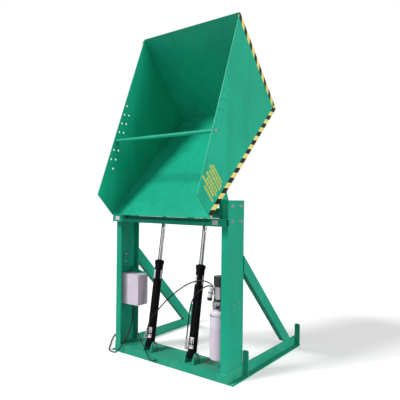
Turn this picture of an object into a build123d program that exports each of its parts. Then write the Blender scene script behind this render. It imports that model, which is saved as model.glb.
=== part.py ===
"""Stationary hydraulic box dumper: a base with two posts carries a tipping bucket, which two rams
swing from floor level up and over to its dump angle. Units are millimetres. +Z is up, +X is the right
side seen from the dump side, and -Y is the dump side. Positions are worked out from the base's front
edge, and every piece is moved at the end so that the origin is the centre of the base on the floor."""

from build123d import *
from math import asin, atan2, cos, degrees, hypot, pi, radians, sin, tan
import os

# Base: two angle rails joined at the front by a channel laid with its web up
base_width = 1475.0
base_depth = 1324.0
rail_height = 102.0
rail_floor_leg = 64.0
rail_wall = 6.4
sill_height = 76.0
sill_wall = 6.4
anchor_hole = 18.0
anchor_end_offset = 32.0
guard_height = 230.0
guard_thick = 8.0
guard_corner = 14.0
guard_gap = 1.0
bumper_height = 14.0
bumper_thick = 10.0
bumper_round = 3.0

# Posts and braces
post_top = 1540.0
channel_depth = 254.0
post_flange = 66.0
post_wall = 6.4
post_flange_thick = 10.0
brace_width = 51.0
brace_height = 102.0
brace_wall = 4.8
brace_drop = 485.0
brace_foot_gap = 117.0

# Stop bar across the front of the posts
bar_drop = 222.0
bar_height = 34.0
bar_depth = 48.0
bar_wall = 4.0
pad_length = 160.0
pad_height = 66.0
bar_upstand = 28.0
bar_overhang = 8.5

# Bucket, in its own frame: along the back plate from the lip, and out from the back plate
dump_angle = 44.0
sweep_angle = 134.0
back_length = 1585.0
platform_depth = 1036.0
mouth_edge = 270.0
bucket_wall = 6.0
bucket_clearance = 15.5
pivot_drop = 115.0
pivot_from_lip = 216.0
plate_to_pivot = 157.5
hole_diameter = 20.0
hole_pitch = 98.5
holes_per_column = 7
column_insets = (32.0, 87.0)
column_starts = (384.0, 306.0)
bar_hole = 2
retaining_bar_od = 34.0
retaining_bar_bore = 18.0
bar_bolt_grip = 50.0

# Pivot: lugs, torque tube, shafts and flange bearings
lug_thick = 20.0
lug_boss = 48.0
lug_front_gap = 13.0
lug_rear_reach = 30.0
torque_tube_od = 89.0
torque_tube_wall = 8.0
shaft_diameter = 55.0
shaft_inside = 60.0
shaft_short = 4.0
hub_length = 40.0
thrust_wall = 7.0
thrust_length = 14.0
thrust_gap = 1.0
running_gap = 0.05
bolt_gap = 0.5
bearing_size = 162.0
bearing_bolt_spacing = 130.0
bearing_flange = 20.0
bearing_total = 40.0
bearing_boss = 55.0
bearing_corner = 16.0
insert_radius = 44.0
insert_setback = 2.0
bearing_bolt = 16.0

# Stiffeners behind the back plate and under the platform
ear_side_gap = 2.0
ear_thick = 12.0
ear_foot_half = 56.0
lug_foot_half = 70.0
channel_rib_width = 76.0
channel_rib_depth = 38.0
channel_rib_wall = 5.0
channel_rib_start = 30.0
channel_rib_end = 70.0
rib_width = 60.0
rib_depth = 30.0
rib_wall = 4.0
rib_inset = 50.0
rib_spacing = 400.0
web_half = 45.0
web_hold = 0.9

# Rams
ram_spacing = 510.0
ram_pin_setback = 65.0
ram_pin_lift = 54.0
rod_lug_along = 553.0
rod_lug_below = 71.0
pin_diameter = 31.8
ear_radius = 38.0
pin_flange = 8.0
pin_flange_thick = 6.0
pin_overhang = 8.0
cotter_diameter = 6.0
cotter_half = 26.0
eye_radius = 25.0
barrel_od = 82.0
barrel_bore = 66.0
barrel_foot = 20.0
barrel_floor = 60.0
closed_gap = 190.4
gland_wall = 5.0
gland_height = 40.0
gland_spigot = 22.0
gland_chamfer = 4.0
rod_diameter = 40.0
piston_length = 48.0
piston_gap = 3.0
port_along = 68.0
port_bore = 8.0
port_seat = 2.0
port_direction = (-0.6, -0.8, 0.0)
port_turn = {"left": (0.3, 0.0, 0.95), "right": (0.0, 0.0, 1.0)}
port_reach = 24.0
port_rise = 46.0
fitting_radius = 10.0

# Control box on the left post
box_width = 246.0
box_height = 306.0
box_depth = 130.0
box_bottom = 480.0
box_front = 56.0
box_side_gap = 1.0
box_wall = 3.0
box_corner = 10.0
cover_depth = 34.0
cover_round = 4.0
cover_screw = 9.0
cover_screw_inset = 14.0
cover_screw_head = 2.0
small_bolt = 8.0
relay_plate = (150.0, 12.0, 186.0)
relay_case = (90.0, 50.0, 96.0)
relay_drop = 15.0
entry_radius = 7.0
gland_nut = (13.0, 10.0)
gland_dome = (7.5, 11.0, 14.0)
grommet_wall = 3.0
grommet_flange = 6.0
grommet_lip = 4.0
bracket_thick = 6.0
bracket_rise = (6.0, 60.0)
bracket_leg_reach = 96.0
bracket_leg = (14.0, 200.0)
bracket_bolt_y = 118.0
bracket_bolt_rise = (118.0, 190.0)

# Power unit on the right post
unit_side_gap = 5.5
unit_setback = 17.0
unit_arm_thick = 10.0
unit_arm_half = (30.0, 8.0)
unit_bolt_edge = 18.0
unit_bolt_spacing = (90.0, 46.0)
unit_bolt_rise = 18.0
tank_radius = 82.0
tank_bottom = 155.0
tank_height = 431.0
tank_wall = 3.0
tank_shoulder = 34.0
tank_foot_round = 14.0
tank_mouth = 20.0
manifold_size = 96.0
manifold_height = 72.0
manifold_chamfer = 12.0
pump_depth = 60.0
valves = ((11.0, -14.0, 24.0, 16.0), (13.0, -16.0, 52.0, 8.0))
filler_offset = 20.0
filler_rise = 30.0
filler_neck = (9.0, 22.0)
filler_knob = (15.0, 2.0, 26.0)
motor_radius = 46.0
motor_wall = 5.0
motor_floor = 8.0
motor_shaft = 24.0
motor_height = 146.0
shaft_end = 2.0
rotor_gap = 4.0
rotor_ends = (16.0, 8.0)
cap_radius = 52.0
cap_height = 74.0
cap_wall = 6.0
cap_roof = 8.0
cap_shaft_gap = 12.0
solenoid_radius = 22.0
solenoid_chamfer = 3.0
solenoid_foot = (-76.0, -44.0, 6.0)
solenoid_head = (-58.0, -44.0, 124.0)
solenoid_clip = 7.0
solenoid_clip_rise = 60.0

# Hoses and cables
hose_diameter = 12.0
lead_diameter = 12.0
cable_diameter = 8.0
coil_radius = 66.0
coil_centre = (-1000.0, 406.0)
plug_radius = 16.0
plug_lead = 14.0
plug_length = 48.0
plug_neck = 20.0
plug_neck_radius = 9.0
plug_pin = 18.0
plug_pin_radius = 2.4
plug_pitch = 9.0

pieces = {}


def block(x0, x1, y0, y1, z0, z1):
    """A box between two values on each axis."""
    middle = ((x0 + x1) / 2, (y0 + y1) / 2, (z0 + z1) / 2)
    return Pos(*middle) * Box(abs(x1 - x0), abs(y1 - y0), abs(z1 - z0))


def bar(radius, start, end):
    """A round bar between two points."""
    run = Vector(*end) - Vector(*start)
    return Plane(origin=start, z_dir=run) * Pos(0, 0, run.length / 2) * Cylinder(radius, run.length)


def slab(plane, outline, x0, x1):
    """A flat plate: an outline in a plane whose normal is +X, from x0 to x1."""
    flat = extrude(Polygon(*outline, align=None), x1 - x0, dir=(0, 0, 1))
    return plane * Pos(0, 0, x0) * flat


def disc(plane, centre, radius, x0, x1):
    """A round plate or hole in the same sense as slab."""
    return plane * Pos(centre[0], centre[1], (x0 + x1) / 2) * Cylinder(radius, x1 - x0)


def hex_bolt(start, end, radius, head=True, nut=True):
    """A bolt with a hexagon head at its start and a nut at its end, as one solid."""
    run = Vector(*end) - Vector(*start)
    way = run.normalized()
    bolt = bar(radius, start, end)
    tall = 1.2 * radius
    if head:
        place = Plane(origin=Vector(*start), z_dir=way * -1)
        bolt += place * extrude(RegularPolygon(1.75 * radius, 6), tall, dir=(0, 0, 1))
    if nut:
        place = Plane(origin=Vector(*end), z_dir=way)
        bolt += place * extrude(RegularPolygon(1.75 * radius, 6), tall, dir=(0, 0, 1))
    return bolt


def tangent_point(outside, centre, radius, side):
    """Where a line from an outside point touches a circle, on the chosen side."""
    dx, dy = centre[0] - outside[0], centre[1] - outside[1]
    turn = atan2(dy, dx) + side * asin(radius / hypot(dx, dy))
    reach = (hypot(dx, dy) ** 2 - radius**2) ** 0.5
    return (outside[0] + reach * cos(turn), outside[1] + reach * sin(turn))


def ear(plane, foot_a, foot_b, centre, radius, x0, x1):
    """A plate on a straight foot whose sides run tangent to a round end."""
    side = 1 if foot_a[0] * foot_b[1] - foot_a[1] * foot_b[0] >= 0 else -1
    outlines = []
    for sign in (side, -side):
        a = tangent_point(foot_a, centre, radius, sign)
        b = tangent_point(foot_b, centre, radius, -sign)
        outlines.append((hypot(a[0] - b[0], a[1] - b[1]), [foot_a, a, b, foot_b]))
    outline = max(outlines)[1]
    return slab(plane, outline, x0, x1) + disc(plane, centre, radius, x0, x1)


def mirrored(shape):
    """The same piece on the left side."""
    return mirror(shape, about=Plane.YZ)


def both(shape):
    """A piece and its mirror image as one group of separate solids."""
    return Compound(children=[*shape.solids(), *mirrored(shape).solids()])


def group(*shapes):
    """Separate solids kept in one node."""
    return Compound(children=[solid for shape in shapes for solid in shape.solids()])


def corner_radii(points):
    """Each corner's arc radius, as large as its two runs allow."""
    radii = []
    for before, here, after in zip(points, points[1:], points[2:]):
        run_in = Vector(*here) - Vector(*before)
        run_out = Vector(*after) - Vector(*here)
        turn = radians(run_in.get_angle(run_out))
        radii.append(0.45 * min(run_in.length, run_out.length) / tan(turn / 2))
    return radii


def cord(name, points, diameter):
    """A round cord: straight runs joined by tangent arcs."""
    radii = corner_radii(points)
    path = FilletPolyline(*points, radius=radii)
    tube = sweep(Plane(origin=path @ 0, z_dir=path % 0) * Circle(diameter / 2), path=path)
    expected = pi * diameter**2 / 4 * path.length
    print(name, "length", round(path.length), "radii", [round(r) for r in radii])
    print(name, "volume share", round(tube.volume / expected, 4))
    return tube


# Places that follow from the sizes above
side_plane = Plane(origin=(0, 0, 0), x_dir=(0, 1, 0), z_dir=(1, 0, 0))
post_face = base_width / 2 - rail_floor_leg
web_inner = post_face - post_wall
bar_half = post_face + bar_overhang
bar_bottom = post_top - bar_drop
brace_top = post_top - brace_drop
brace_run = base_depth - channel_depth - brace_foot_gap
brace_lean = atan2(brace_top - rail_height, brace_run)
ear_gap = barrel_od + 2 * ear_side_gap
eye_length = barrel_od
flange_tip = post_face - post_flange
bucket_half = flange_tip - bucket_clearance
bucket_inner = bucket_half - bucket_wall
pivot_y = channel_depth / 2
pivot_z = post_top - pivot_drop
slope = radians(dump_angle)
along = (cos(slope), sin(slope))
outward = (-sin(slope), cos(slope))
lip_y = pivot_y - pivot_from_lip * along[0] + plate_to_pivot * outward[0]
lip_z = pivot_z - pivot_from_lip * along[1] + plate_to_pivot * outward[1]
bucket_plane = Plane(origin=(0, lip_y, lip_z), x_dir=(0, *along), z_dir=(1, 0, 0))
ram_x = ram_spacing / 2
ram_pin_z = sill_height + ram_pin_lift
lug_y = lip_y + rod_lug_along * along[0] - rod_lug_below * outward[0]
lug_z = lip_z + rod_lug_along * along[1] - rod_lug_below * outward[1]
ram_lean = atan2(lug_y - ram_pin_setback, lug_z - ram_pin_z)
ram_long = hypot(lug_y - ram_pin_setback, lug_z - ram_pin_z)
lug_reach = hypot(lug_y - pivot_y, lug_z - pivot_z)
lug_angle = atan2(lug_z - pivot_z, lug_y - pivot_y) - radians(sweep_angle)
low_y = pivot_y + lug_reach * cos(lug_angle)
low_z = pivot_z + lug_reach * sin(lug_angle)
ram_short = hypot(low_y - ram_pin_setback, low_z - ram_pin_z)
ram_swing = atan2(low_y - ram_pin_setback, low_z - ram_pin_z) - ram_lean
stroke = ram_long - ram_short
barrel_end = ram_short - closed_gap
gland_radius = barrel_od / 2 + gland_wall
rib_x = ram_x + ear_gap / 2 + ear_thick + channel_rib_width / 2
pin_radius = pin_diameter / 2
bore_radius = pin_radius + running_gap
ram_sides = (("left", -1), ("right", 1))
box_left = -web_inner + box_side_gap
box_right = box_left + box_width
box_top = box_bottom + box_height
box_back = box_front + box_depth
tank_top = tank_bottom + tank_height
unit_x = flange_tip - unit_side_gap - tank_radius
unit_y = pivot_y - unit_setback
shaft_bore = motor_shaft / 2 + running_gap
small_hole = small_bolt / 2 + bolt_gap


def along_edge(distance, inset):
    """A point in the bucket's frame, measured up the sloped mouth edge and in from it."""
    edge = atan2(platform_depth - mouth_edge, back_length)
    u = distance * cos(edge) + inset * sin(edge)
    v = mouth_edge + distance * sin(edge) - inset * cos(edge)
    return (u, v)


def in_bucket(u, v, x):
    """A point of the bucket's frame as a point of the model."""
    y = lip_y + u * along[0] + v * outward[0]
    z = lip_z + u * along[1] + v * outward[1]
    return (x, y, z)


def make_base():
    """Front channel, side rails, guard tabs and the rubber bumper."""
    sill = block(-post_face, post_face, 0, channel_depth, 0, sill_height)
    hollow = block(-post_face, post_face, post_flange_thick, channel_depth - post_flange_thick, 0,
                   sill_height - sill_wall)
    sill -= hollow
    x, z = grommet_place
    sill -= bar(cable_diameter / 2 + grommet_wall, (x, -1, z), (x, post_flange_thick + 1, z))
    pieces["front_sill"] = sill

    outline = [(0, 0), (base_depth, 0), (base_depth, rail_height), (0, rail_height)]
    rail = slab(side_plane, outline, post_face, post_face + rail_wall)
    rail += block(post_face, base_width / 2, 0, base_depth, 0, rail_wall)
    anchor_x = base_width / 2 - rail_floor_leg / 2 + rail_wall / 2
    for y in (anchor_end_offset, base_depth - anchor_end_offset):
        rail -= bar(anchor_hole / 2, (anchor_x, y, -1), (anchor_x, y, rail_wall + 1))
    pieces["side_rail_right"] = rail
    pieces["side_rail_left"] = mirrored(rail)

    guards = []
    for y in (channel_depth - guard_thick, base_depth - guard_thick):
        plate = block(post_face + rail_wall, base_width / 2 - guard_gap, y, y + guard_thick, rail_wall,
                      guard_height)
        top_edges = plate.edges().filter_by(Axis.Y).group_by(Axis.Z)[-1]
        guards.append(fillet(top_edges, guard_corner))
    pieces["guard_tabs"] = both(group(*guards))

    strip = block(-flange_tip, flange_tip, channel_depth, channel_depth + bumper_thick,
                  sill_height - bumper_height, sill_height)
    pieces["sill_bumper"] = fillet(strip.edges().filter_by(Axis.X).group_by(Axis.Y)[-1], bumper_round)


def make_posts():
    """Channel posts standing on the front channel, with a brace behind each."""
    post = block(flange_tip, post_face, 0, channel_depth, sill_height, post_top)
    post -= block(flange_tip - 1, web_inner, post_flange_thick, channel_depth - post_flange_thick,
                  sill_height - 1, post_top + 1)
    half = bearing_bolt_spacing / 2
    for y in (pivot_y - half, pivot_y + half):
        for z in (pivot_z - half, pivot_z + half):
            post -= bar(bearing_bolt / 2 + bolt_gap, (web_inner - 1, y, z), (post_face + 1, y, z))
    right = post
    for y, z in unit_bolts:
        right -= bar(small_hole, (web_inner - 1, y, z), (post_face + 1, y, z))
    left = mirrored(post)
    for y, z in box_bolts:
        left -= bar(small_hole, (-web_inner + 1, y, z), (-post_face - 1, y, z))
    pieces["post_right"] = right
    pieces["post_left"] = left

    rise = brace_height / cos(brace_lean)
    run = brace_height / sin(brace_lean)
    back, foot = channel_depth, channel_depth + brace_run
    outline = [(back, brace_top), (back, brace_top - rise), (foot - run, rail_height), (foot, rail_height)]
    tube = slab(side_plane, outline, post_face - brace_width + rail_wall, post_face + rail_wall)
    high, low = brace_top - brace_wall / cos(brace_lean), brace_top - rise + brace_wall / cos(brace_lean)
    near, far = foot - run + brace_wall / sin(brace_lean), foot - brace_wall / sin(brace_lean)
    slant = tan(brace_lean)
    inside = [(back - 1, high + slant), (back - 1, low + slant), (near + 1 / slant, rail_height - 1),
              (far + 1 / slant, rail_height - 1)]
    tube -= slab(side_plane, inside, post_face - brace_width + rail_wall + brace_wall,
                 post_face + rail_wall - brace_wall)
    pieces["brace_right"] = tube
    pieces["brace_left"] = mirrored(tube)


def make_stop_bar():
    """Box-section bar with a rear upstand across the posts' front faces, and a taller block at each end.

    The blocks are lengths of box section, closed on the inner side and open at the outer end.
    """
    inner = bar_half - pad_length
    tube = block(-inner, inner, -bar_depth, 0, bar_bottom, bar_bottom + bar_height)
    tube -= block(-inner - 1, inner + 1, -bar_depth + bar_wall, -bar_wall, bar_bottom + bar_wall,
                  bar_bottom + bar_height - bar_wall)
    top = bar_bottom + bar_height
    tube += block(-inner, inner, -bar_wall, 0, top, top + bar_upstand)
    pieces["stop_bar"] = tube
    pad = block(inner, bar_half, -bar_depth, 0, bar_bottom, bar_bottom + pad_height)
    pad -= block(inner + bar_wall, bar_half + 1, -bar_depth + bar_wall, -bar_wall,
                 bar_bottom + bar_wall, bar_bottom + pad_height - bar_wall)
    pieces["stop_pads"] = both(pad)


def make_bearings():
    """Flange bearings inside the posts' channels, their inserts and bolts."""
    half = bearing_bolt_spacing / 2
    inner = web_inner - bearing_total
    body = block(web_inner - bearing_flange, web_inner, pivot_y - bearing_size / 2,
                 pivot_y + bearing_size / 2, pivot_z - bearing_size / 2, pivot_z + bearing_size / 2)
    body = fillet(body.edges().filter_by(Axis.X), bearing_corner)
    body += bar(bearing_boss, (inner, pivot_y, pivot_z), (web_inner, pivot_y, pivot_z))
    body -= bar(insert_radius, (inner - 1, pivot_y, pivot_z), (web_inner + 1, pivot_y, pivot_z))
    bolts = []
    for y in (pivot_y - half, pivot_y + half):
        for z in (pivot_z - half, pivot_z + half):
            start = (web_inner - bearing_flange, y, z)
            end = (post_face, y, z)
            body -= bar(bearing_bolt / 2 + bolt_gap, (start[0] - 1, y, z), (web_inner + 1, y, z))
            bolts.append(hex_bolt(start, end, bearing_bolt / 2))
    insert = bar(insert_radius, (inner, pivot_y, pivot_z), (web_inner - insert_setback, pivot_y, pivot_z))
    insert -= bar(shaft_diameter / 2 + running_gap, (inner - 1, pivot_y, pivot_z),
                  (web_inner, pivot_y, pivot_z))
    pieces["bearing_housings"] = both(body)
    pieces["bearing_inserts"] = both(insert)
    pieces["bearing_bolts"] = both(group(*bolts))


def make_bucket():
    """Side plates with two staggered hole columns, back plate, platform plate and their ribs."""
    outline = [(0, 0), (back_length, 0), (back_length, platform_depth), (0, mouth_edge)]
    side = slab(bucket_plane, outline, bucket_inner, bucket_half)
    for inset, start in zip(column_insets, column_starts):
        for count in range(holes_per_column):
            centre = along_edge(start + count * hole_pitch, inset)
            side -= disc(bucket_plane, centre, hole_diameter / 2, bucket_inner - 1, bucket_half + 1)
    pieces["side_plate_right"] = side
    pieces["side_plate_left"] = mirrored(side)

    back = [(0, 0), (back_length, 0), (back_length, bucket_wall), (0, bucket_wall)]
    pieces["back_plate"] = slab(bucket_plane, back, -bucket_inner, bucket_inner)
    floor = [(back_length - bucket_wall, bucket_wall), (back_length, bucket_wall),
             (back_length, platform_depth), (back_length - bucket_wall, platform_depth)]
    pieces["platform_plate"] = slab(bucket_plane, floor, -bucket_inner, bucket_inner)

    low, high = channel_rib_start, back_length - channel_rib_end
    floor_v = channel_rib_wall - channel_rib_depth
    rib = slab(bucket_plane, [(low, 0), (high, 0), (high, -channel_rib_depth), (low, -channel_rib_depth)],
               rib_x - channel_rib_width / 2, rib_x + channel_rib_width / 2)
    rib -= slab(bucket_plane, [(low - 1, 1), (high + 1, 1), (high + 1, floor_v), (low - 1, floor_v)],
                rib_x - channel_rib_width / 2 + channel_rib_wall,
                rib_x + channel_rib_width / 2 - channel_rib_wall)
    pieces["back_channels"] = both(rib)

    ribs = []
    for x in (-rib_spacing, 0, rib_spacing):
        low, high, far = rib_inset, platform_depth - rib_inset, back_length + rib_depth
        tube = slab(bucket_plane, [(back_length, low), (far, low), (far, high), (back_length, high)],
                    x - rib_width / 2, x + rib_width / 2)
        far -= rib_wall
        tube -= slab(bucket_plane, [(back_length - 1, low - 1), (far, low - 1), (far, high + 1),
                                    (back_length - 1, high + 1)],
                     x - rib_width / 2 + rib_wall, x + rib_width / 2 - rib_wall)
        ribs.append(tube)
    pieces["platform_ribs"] = group(*ribs)

    centre = along_edge(column_starts[0] + bar_hole * hole_pitch, column_insets[0])
    tube = disc(bucket_plane, centre, retaining_bar_od / 2, -bucket_inner, bucket_inner)
    tube -= disc(bucket_plane, centre, retaining_bar_bore / 2, -bucket_inner - 1, bucket_inner + 1)
    pieces["retaining_bar"] = tube
    place = in_bucket(*centre, bucket_half)
    inside = in_bucket(*centre, bucket_inner - bar_bolt_grip)
    bolt = hex_bolt(place, inside, retaining_bar_bore / 2 - running_gap, nut=False)
    pieces["bar_bolts"] = both(bolt)


def make_pivot():
    """Lugs under the back plate, the torque tube between them, its webs and the two shafts."""
    lug_front, lug_rear = lug_front_gap, pivot_y - lug_rear_reach
    foot_front = lip_z + (lug_front - lip_y) * tan(slope)
    foot_rear = lip_z + (lug_rear - lip_y) * tan(slope)
    tangent = tangent_point((lug_rear, foot_rear), (pivot_y, pivot_z), lug_boss, 1)
    outline = [(lug_front, foot_front), (lug_rear, foot_rear), tangent, (pivot_y, pivot_z - lug_boss),
               (lug_front, pivot_z - lug_boss)]
    x0, x1 = bucket_half - lug_thick, bucket_half
    lug = slab(side_plane, outline, x0, x1)
    lug += disc(side_plane, (pivot_y, pivot_z), lug_boss, x0, x1)
    lug -= disc(side_plane, (pivot_y, pivot_z), shaft_diameter / 2, x0 - 1, x1 + 1)
    hub = (pivot_from_lip, -plate_to_pivot)
    reach = torque_tube_od / 2
    top = -channel_rib_depth
    web = slab(bucket_plane, [(hub[0] - web_half, top), (hub[0] + web_half, top),
                              (hub[0] + reach * web_hold, hub[1]), (hub[0] - reach * web_hold, hub[1])],
               rib_x - ear_thick / 2, rib_x + ear_thick / 2)
    web -= disc(side_plane, (pivot_y, pivot_z), reach, rib_x - ear_thick, rib_x + ear_thick)
    web = web.solids().sort_by(SortBy.VOLUME)[-1]
    pieces["pivot_lugs"] = group(both(lug), both(web))
    tube = disc(side_plane, (pivot_y, pivot_z), torque_tube_od / 2, -x0, x0)
    tube -= disc(side_plane, (pivot_y, pivot_z), torque_tube_od / 2 - torque_tube_wall, -x0 - 1, x0 + 1)
    pieces["pivot_tube"] = tube
    hub_radius = torque_tube_od / 2 - torque_tube_wall
    start, thrust = x0 - shaft_inside, x1 + thrust_gap
    shaft = bar(shaft_diameter / 2, (start, pivot_y, pivot_z), (web_inner - shaft_short, pivot_y, pivot_z))
    shaft += bar(hub_radius, (start, pivot_y, pivot_z), (start + hub_length, pivot_y, pivot_z))
    shaft += bar(shaft_diameter / 2 + thrust_wall, (thrust, pivot_y, pivot_z),
                 (thrust + thrust_length, pivot_y, pivot_z))
    pieces["stub_shafts"] = both(shaft)


def make_rams():
    """Both rams: barrels on pins at the base, rods, pistons, glands, fittings and the rod lugs."""
    inner, outer = ear_gap / 2, ear_gap / 2 + ear_thick
    base_ears, base_pins, rod_ears, rod_pins = [], [], [], []
    for name, side in ram_sides:
        x = side * ram_x
        frame = Plane(origin=(x, ram_pin_setback, ram_pin_z), x_dir=(1, 0, 0),
                      z_dir=(0, sin(ram_lean), cos(ram_lean)))
        make_one_ram(name, frame)
        pin = (ram_pin_setback, ram_pin_z)
        foot = ((ram_pin_setback - ear_foot_half, sill_height),
                (ram_pin_setback + ear_foot_half, sill_height))
        lug = (rod_lug_along, -rod_lug_below)
        lug_foot = ((rod_lug_along - lug_foot_half, 0), (rod_lug_along + lug_foot_half, 0))
        for x0, x1 in ((x - outer, x - inner), (x + inner, x + outer)):
            plate = ear(side_plane, *foot, pin, ear_radius, x0, x1)
            base_ears.append(plate - disc(side_plane, pin, bore_radius, x0 - 1, x1 + 1))
            plate = ear(bucket_plane, *lug_foot, lug, ear_radius, x0, x1)
            rod_ears.append(plate - disc(bucket_plane, lug, bore_radius, x0 - 1, x1 + 1))
            stub = disc(bucket_plane, lug, pin_radius, x0, x1)
            face = x1 if x0 > x else x0 - pin_flange_thick
            flange = disc(bucket_plane, lug, pin_radius + pin_flange, face, face + pin_flange_thick)
            rod_pins.append(stub + flange)
        end = outer + pin_overhang
        shank = disc(side_plane, pin, pin_radius, x - end, x + end)
        head = disc(side_plane, pin, pin_radius + pin_flange, x + outer, x + end)
        middle = x - outer - pin_overhang / 2
        cotter = bar(cotter_diameter / 2, (middle, pin[0], pin[1] - cotter_half),
                     (middle, pin[0], pin[1] + cotter_half))
        base_pins.append(shank + head + cotter)
    pieces["ram_ears"] = group(*base_ears)
    pieces["ram_base_pins"] = group(*base_pins)
    pieces["rod_ears"] = group(*rod_ears)
    pieces["rod_pins"] = group(*rod_pins)


def make_one_ram(name, frame):
    """One ram in its own frame, with its base pin at the origin and its rod along +Z."""
    def turned(radius, low, high):
        return Pos(0, 0, (low + high) / 2) * Cylinder(radius, high - low)

    def cross(radius, height, length):
        return Pos(0, 0, height) * Rot(0, 90, 0) * Cylinder(radius, length)

    barrel = turned(barrel_od / 2, barrel_foot, barrel_end) + cross(eye_radius, 0, eye_length)
    barrel -= turned(barrel_bore / 2, barrel_floor, barrel_end + 1)
    barrel -= cross(bore_radius, 0, barrel_od + 2)
    way = Vector(*port_direction).normalized()
    port_x, port_y = way.X, way.Y
    tip = (port_x * (barrel_od / 2 + port_reach), port_y * (barrel_od / 2 + port_reach), port_along)
    wall = (port_x * (barrel_od / 2 - port_seat), port_y * (barrel_od / 2 - port_seat), port_along)
    barrel -= bar(port_bore / 2, (0, 0, port_along), tip)
    fitting = bar(fitting_radius, wall, tip)
    fitting += Pos(*tip) * Sphere(fitting_radius)
    mouth = Vector(*tip) + Vector(*port_turn[name]).normalized() * port_rise
    fitting += bar(fitting_radius, tip, tuple(mouth))
    fitting -= turned(barrel_od / 2, 0, barrel_end)
    pieces["barrel_" + name] = frame * barrel
    pieces["port_fitting_" + name] = frame * fitting
    hose_end = (frame.location * Pos(*mouth)).position
    print("port_fitting_" + name, "mouth", [round(v, 1) for v in hose_end])

    gland = turned(gland_radius, barrel_end, barrel_end + gland_height)
    gland += turned(barrel_bore / 2 - running_gap, barrel_end - gland_spigot, barrel_end)
    gland = chamfer(gland.edges().filter_by(GeomType.CIRCLE).sort_by(Axis.Z)[-1:], gland_chamfer)
    gland -= turned(rod_diameter / 2 + running_gap, barrel_end - gland_spigot - 1,
                    barrel_end + gland_height + 1)
    pieces["gland_" + name] = frame * gland
    piston_top = barrel_end - gland_spigot - piston_gap
    rod = turned(rod_diameter / 2, piston_top - piston_length, ram_long)
    rod += cross(eye_radius, ram_long, eye_length)
    rod -= cross(bore_radius, ram_long, eye_length + 2)
    pieces["rod_" + name] = frame * rod
    piston = turned(barrel_bore / 2 - running_gap, piston_top - piston_length, piston_top)
    piston -= turned(rod_diameter / 2, piston_top - piston_length - 1, piston_top + 1)
    pieces["piston_" + name] = frame * piston


def make_control_box():
    """Control box on its bracket, with its cover, relay block and cable glands."""
    seam = box_front + cover_depth
    body = block(box_left, box_right, seam, box_back, box_bottom, box_top)
    body = fillet(body.edges().filter_by(Axis.Y), box_corner)
    body -= block(box_left + box_wall, box_right - box_wall, seam - 1, box_back - box_wall,
                  box_bottom + box_wall, box_top - box_wall)
    for x, y in gland_places:
        body -= bar(entry_radius, (x, y, box_bottom - 1), (x, y, box_bottom + box_wall + 1))
    pieces["enclosure_body"] = body
    cover = block(box_left, box_right, box_front, seam, box_bottom, box_top)
    cover = fillet(cover.edges().filter_by(Axis.Y), box_corner)
    cover = fillet(cover.faces().sort_by(Axis.Y)[0].edges(), cover_round)
    cover -= block(box_left + box_wall, box_right - box_wall, box_front + box_wall, seam + 1,
                   box_bottom + box_wall, box_top - box_wall)
    pieces["enclosure_cover"] = cover

    middle_x, middle_z = (box_left + box_right) / 2, (box_bottom + box_top) / 2
    back = box_back - box_wall
    wide, deep, tall = relay_plate
    relay = block(middle_x - wide / 2, middle_x + wide / 2, back - deep, back, middle_z - tall / 2,
                  middle_z + tall / 2)
    back -= deep
    wide, deep, tall = relay_case
    middle_z -= relay_drop
    relay += block(middle_x - wide / 2, middle_x + wide / 2, back - deep, back, middle_z - tall / 2,
                   middle_z + tall / 2)
    pieces["relay_block"] = relay

    glands = []
    for x, y in gland_places:
        shape = bar(entry_radius - running_gap, (x, y, box_bottom - 1), (x, y, box_bottom + 2 * box_wall))
        shape += Plane(origin=(x, y, box_bottom), z_dir=(0, 0, -1)) * extrude(
            RegularPolygon(gland_nut[0], 6), gland_nut[1], dir=(0, 0, 1))
        small, large, tall = gland_dome
        glands.append(shape + Pos(x, y, box_bottom - gland_nut[1] - tall / 2) * Cone(small, large, tall))
    x, z = grommet_place
    ring = bar(cable_diameter / 2 + grommet_flange, (x, -grommet_lip, z), (x, 0, z))
    ring += bar(cable_diameter / 2 + grommet_wall, (x, 0, z), (x, post_flange_thick, z))
    pieces["cable_glands"] = group(*glands, ring)

    make_brackets()
    bolts = [hex_bolt((-web_inner + bracket_thick, y, z), (-post_face, y, z), small_bolt / 2)
             for y, z in box_bolts]
    bolts += [hex_bolt((web_inner - unit_arm_thick, y, z), (post_face, y, z), small_bolt / 2)
              for y, z in unit_bolts]
    for x in (box_left + cover_screw_inset, box_right - cover_screw_inset):
        for z in (box_bottom + cover_screw_inset, box_top - cover_screw_inset):
            bolts.append(bar(cover_screw / 2, (x, box_front - cover_screw_head, z), (x, box_front, z)))
    pieces["mounting_bolts"] = group(*bolts)


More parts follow.
